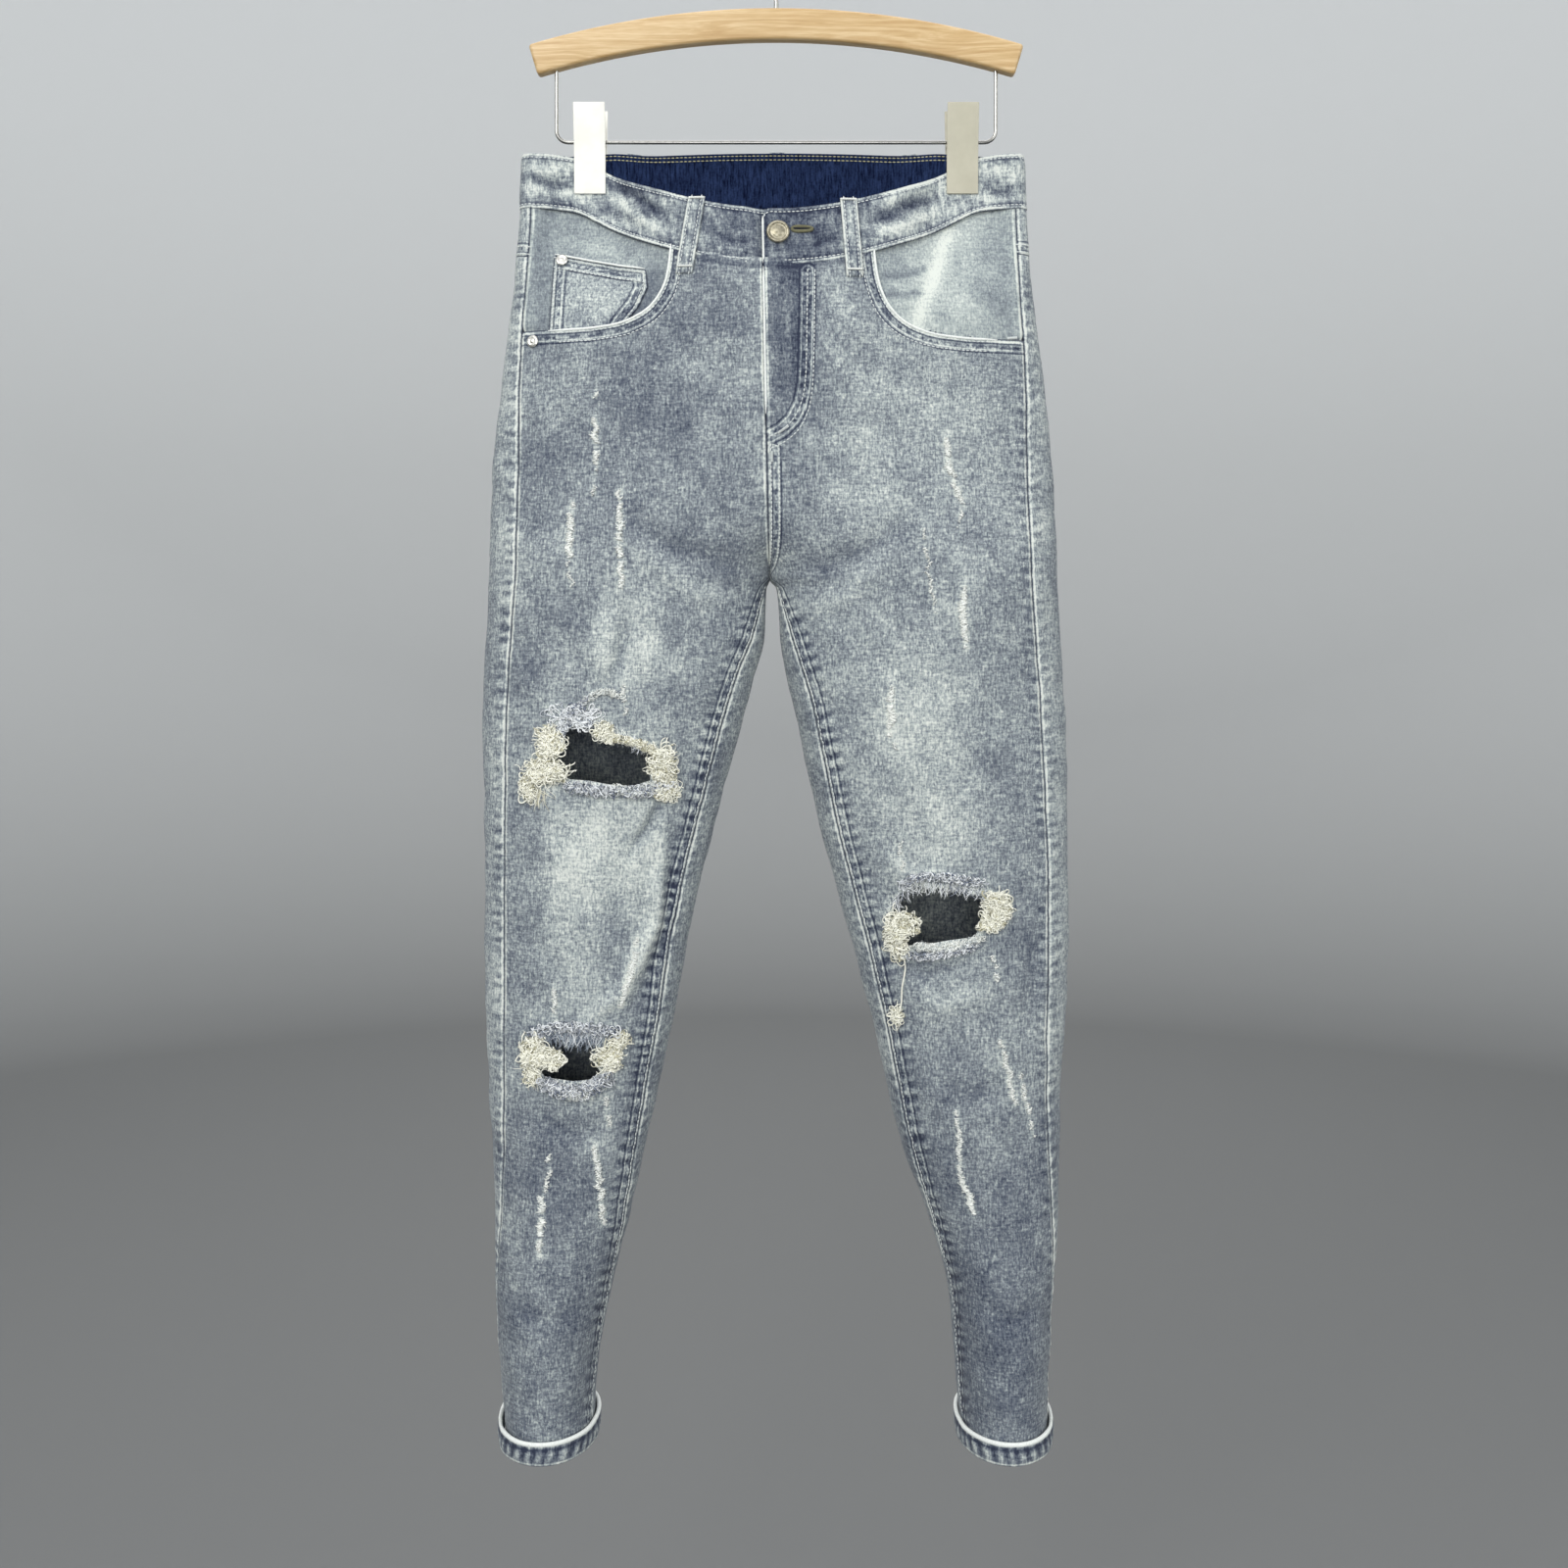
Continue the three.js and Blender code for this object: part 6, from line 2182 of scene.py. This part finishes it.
def rod(name, radius, start, towards, moves, sides=20):
    """A bent rod: a ring of edges extruded straight and spun round the bends.

    A move is the shift of a straight run, or the centre, angle and steps of a bend.
    """
    deselect_all()
    turn = Vector((0, 0, 1)).rotation_difference(Vector(towards))
    bpy.ops.mesh.primitive_circle_add(
        vertices=sides, radius=radius * MM, fill_type="NOTHING",
        location=tuple(c * MM for c in start), rotation=tuple(turn.to_euler()))
    piece = added(name)
    bpy.ops.object.mode_set(mode="EDIT")
    bpy.ops.mesh.select_mode(type="EDGE")
    bpy.ops.mesh.select_all(action="SELECT")
    for place, *bend in moves:
        place = tuple(c * MM for c in place)
        if bend:
            angle, steps = bend
            bpy.ops.mesh.spin(
                steps=steps, angle=math.radians(angle), center=place, axis=(0, 1, 0))
        else:
            extrude(place)
    bpy.ops.mesh.select_all(action="SELECT")
    bpy.ops.mesh.remove_doubles(threshold=1e-6)
    bpy.ops.mesh.select_all(action="DESELECT")
    bpy.ops.mesh.select_mode(type="EDGE")
    bpy.ops.mesh.select_non_manifold()
    bpy.ops.mesh.fill_holes(sides=0)
    end_edit()
    return piece


class JEANS_OT_hanger_metal(bpy.types.Operator):
    """Adds the wire under the bar and the hook above it"""

    bl_idname = "jeans.hanger_metal"
    bl_label = "Wire and hook"

    def execute(self, context):
        top = BAR_CENTRE_Z + math.sqrt((BAR_RADIUS - BAR_HEIGHT) ** 2 - WIRE_X**2) + WIRE_INTO
        down = top - WIRE_Z - WIRE_BEND
        wire = rod(
            "chrome_wire", WIRE_RADIUS, (-WIRE_X, 0, top), (0, 0, -1),
            [
                ((0, 0, -down),),
                ((-WIRE_X + WIRE_BEND, 0, WIRE_Z + WIRE_BEND), 90, 8),
                ((2 * (WIRE_X - WIRE_BEND), 0, 0),),
                ((WIRE_X - WIRE_BEND, 0, WIRE_Z + WIRE_BEND), 90, 8),
                ((0, 0, down),),
            ])
        finish_hard(wire, "steel", "hanger_wire")
        radius = HOOK_INNER + HOOK_RADIUS
        low = BAR_TOP - HOOK_INTO
        # The neck leans over to the hook's start, and the hook opens towards the right.
        x = radius * math.cos(math.radians(HOOK_BEGIN))
        z = -HOOK_INNER + radius * math.sin(math.radians(HOOK_BEGIN))
        hook = rod(
            "chrome_hook", HOOK_RADIUS, (0, 0, low), (0, 0, 1),
            [
                ((0, 0, HOOK_NECK - low - 2),),
                ((x * 0.12, 0, 3),),
                ((x * 0.3, 0, 4),),
                ((x * 0.58, 0, z - HOOK_NECK - 5),),
                ((0, 0, -HOOK_INNER), HOOK_BEGIN - HOOK_END, 36),
            ])
        finish_hard(hook, "steel", "hanger_hook", 0.7, 3, 60)
        return {"FINISHED"}


CLIP_ABOVE, CLIP_THICK, CLIP_SPREAD, BARREL_RADIUS = 38.0, 1.6, 7.0, 3.4


class JEANS_OT_clips(bpy.types.Operator):
    """Adds the jaws and barrels of the two clips"""

    bl_idname = "jeans.clips"
    bl_label = "Clips"

    def execute(self, context):
        grip = PINCHED + BAND / 2 + GAP + 0.1
        low, high = WAIST_Z - CLIP_GRIP, WAIST_Z + CLIP_ABOVE
        line = [
            (grip, low), (grip, WAIST_Z - 6), (grip + 1.8, WIRE_Z), (grip + CLIP_SPREAD, high),
        ]
        for name, side in SIDES.items():
            for which, towards in (("front", -1), ("back", 1)):
                self.jaw(name, side, which, towards, line)
            barrel = rod(
                f"clip_barrel_tube_{name}", BARREL_RADIUS,
                (side * CLIP_X - CLIP_WIDTH / 2 + 2, 0, WIRE_Z), (1, 0, 0),
                [((CLIP_WIDTH - 4, 0, 0),)], 24)
            finish_hard(barrel, "steel", f"clip_barrel_{name}", 0.5, 2, 50)
        return {"FINISHED"}

    def jaw(self, name, side, which, towards, line):
        deselect_all()
        (y0, z0), (_, z1) = line[:2]
        bpy.ops.mesh.primitive_plane_add(
            size=1.0, location=(side * CLIP_X * MM, towards * y0 * MM, (z0 + z1) / 2 * MM),
            rotation=(math.radians(90), 0, 0))
        bpy.context.object.scale = (CLIP_WIDTH * MM, (z1 - z0) * MM, 1)
        plate = added(f"clip_{which}_plate_{name}")
        for (y_from, z_from), (y_to, z_to) in zip(line[1:-1], line[2:]):
            bpy.ops.object.mode_set(mode="OBJECT")
            for vertex in plate.data.vertices:
                vertex.select = abs(vertex.co.z - z_from * MM) < 1e-5
            for edge in plate.data.edges:
                edge.select = all(plate.data.vertices[i].select for i in edge.vertices)
            for face in plate.data.polygons:
                face.select = False
            bpy.ops.object.mode_set(mode="EDIT")
            bpy.ops.mesh.select_mode(type="EDGE")
            extrude((0, towards * (y_to - y_from) * MM, (z_to - z_from) * MM))
        end_edit()
        if plate.data.polygons[0].normal.y * towards < 0:
            plate.data.flip_normals()
        apply_modifier(plate, "SOLIDIFY", thickness=CLIP_THICK * MM, offset=1.0)
        # The clip on the wearer's left gets the darker copy of the paint, as painted shade.
        pale = "clip_pale" if side == RIGHT else "clip_beige"
        finish_hard(plate, pale, f"clip_{which}_jaw_{name}", 0.55, 3, 50)


# ---- stage --------------------------------------------------------------------------------


class JEANS_OT_stage(bpy.types.Operator):
    """Adds the pale floor with its round backdrop, the lights and the camera"""

    bl_idname = "jeans.stage"
    bl_label = "Stage"

    def execute(self, context):
        deselect_all()
        colour = tuple(context.scene.jeans_colours.backdrop)
        radius, sweep, height, floor_z = 4.6, 1.6, 4.2, -1.62
        bpy.ops.mesh.primitive_circle_add(
            vertices=96, radius=radius - sweep, fill_type="NGON", location=(0, 0, floor_z))
        floor = added("floor_and_backdrop")
        edit_all()
        bpy.ops.mesh.inset(thickness=0.4)
        bpy.ops.mesh.select_all(action="DESELECT")
        bpy.ops.mesh.select_mode(type="EDGE")
        bpy.ops.mesh.select_non_manifold()
        last_radius, last_z = radius - sweep, 0.0
        steps = 12
        for step in range(1, steps + 2):
            angle = math.radians(90) * min(1, step / steps)
            new_radius = radius - sweep + sweep * math.sin(angle)
            new_z = height if step > steps else sweep * (1 - math.cos(angle))
            extrude((0, 0, new_z - last_z))
            bpy.ops.transform.resize(
                value=(new_radius / last_radius, new_radius / last_radius, 1),
                center_override=(0, 0, 0))
            last_radius, last_z = new_radius, new_z
        end_edit(inside=True)
        floor.data.shade_smooth()
        floor.data.materials.append(backdrop_material("Pale backdrop", colour))

        for name, energy, size, place in (
            ("key", 70.0, (2.2, 1.8), (-1.5, -2.9, 1.25)),
            ("fill", 33.0, (2.4, 2.2), (2.3, -2.6, 0.1)),
            ("front", 6.5, (0.6, 0.6), (0.0, -2.0, -0.55)),
            ("top", 26.0, (2.4, 2.4), (0.0, 0.3, 2.2)),
            ("rear", 34.0, (2.6, 2.0), (0.2, 3.2, 1.1)),
        ):
            data = bpy.data.lights.new(f"{name}_light", "AREA")
            data.shape, data.energy = "RECTANGLE", energy
            data.size, data.size_y = size
            lamp = bpy.data.objects.new(f"{name}_light", data)
            lamp.location = place
            aim = Vector((0, 0, -0.6)) - Vector(place)
            lamp.rotation_euler = aim.to_track_quat("-Z", "Y").to_euler()
            context.scene.collection.objects.link(lamp)

        world = bpy.data.worlds.new("Soft studio")
        world.use_nodes = True
        sky = world.node_tree.nodes["Background"]
        sky.inputs["Color"].default_value = (0.93, 0.95, 1.0, 1.0)
        sky.inputs["Strength"].default_value = 0.62
        context.scene.world = world

        data = bpy.data.cameras.new("camera")
        data.lens, data.sensor_width = 37.5, 36.0
        data.shift_y = -0.107
        camera = bpy.data.objects.new("camera", data)
        camera.location = (0.006, -1.25, -0.532)
        camera.rotation_euler = (math.radians(90), 0, 0)
        context.scene.collection.objects.link(camera)
        context.scene.camera = camera
        context.scene.view_settings.view_transform = "Standard"
        return {"FINISHED"}


class JEANS_PT_build(bpy.types.Panel):
    """Lists what the jeans are built from"""

    bl_idname = "JEANS_PT_build"
    bl_label = "Jeans on a hanger"
    bl_space_type = "VIEW_3D"
    bl_region_type = "UI"
    bl_category = "Jeans"

    def draw(self, context):
        scene = context.scene
        for group in (scene.jeans_sizes, scene.jeans_colours):
            box = self.layout.box()
            for key in group.bl_rna.properties.keys():
                if key not in ("rna_type", "name"):
                    box.prop(group, key)
        for operator in OPERATORS:
            self.layout.operator(operator.bl_idname)


OPERATORS = (
    JEANS_OT_front_panels, JEANS_OT_back_panels, JEANS_OT_front_pockets,
    JEANS_OT_back_pockets, JEANS_OT_waistband, JEANS_OT_belt_loops, JEANS_OT_cuffs,
    JEANS_OT_stitching, JEANS_OT_tacks, JEANS_OT_torn_places, JEANS_OT_slashes,
    JEANS_OT_button, JEANS_OT_rivets, JEANS_OT_hanger_bar, JEANS_OT_hanger_metal,
    JEANS_OT_clips, JEANS_OT_stage,
)
CLASSES = (JeansSizes, JeansColours, *OPERATORS, JEANS_PT_build)


def register():
    for each in CLASSES:
        bpy.utils.register_class(each)
    bpy.types.Scene.jeans_sizes = PointerProperty(type=JeansSizes)
    bpy.types.Scene.jeans_colours = PointerProperty(type=JeansColours)


def unregister():
    del bpy.types.Scene.jeans_colours
    del bpy.types.Scene.jeans_sizes
    for each in reversed(CLASSES):
        bpy.utils.unregister_class(each)


def main():
    register()
    for operator in OPERATORS:
        group, name = operator.bl_idname.split(".")
        getattr(getattr(bpy.ops, group), name)()


if __name__ == "__main__":
    main()
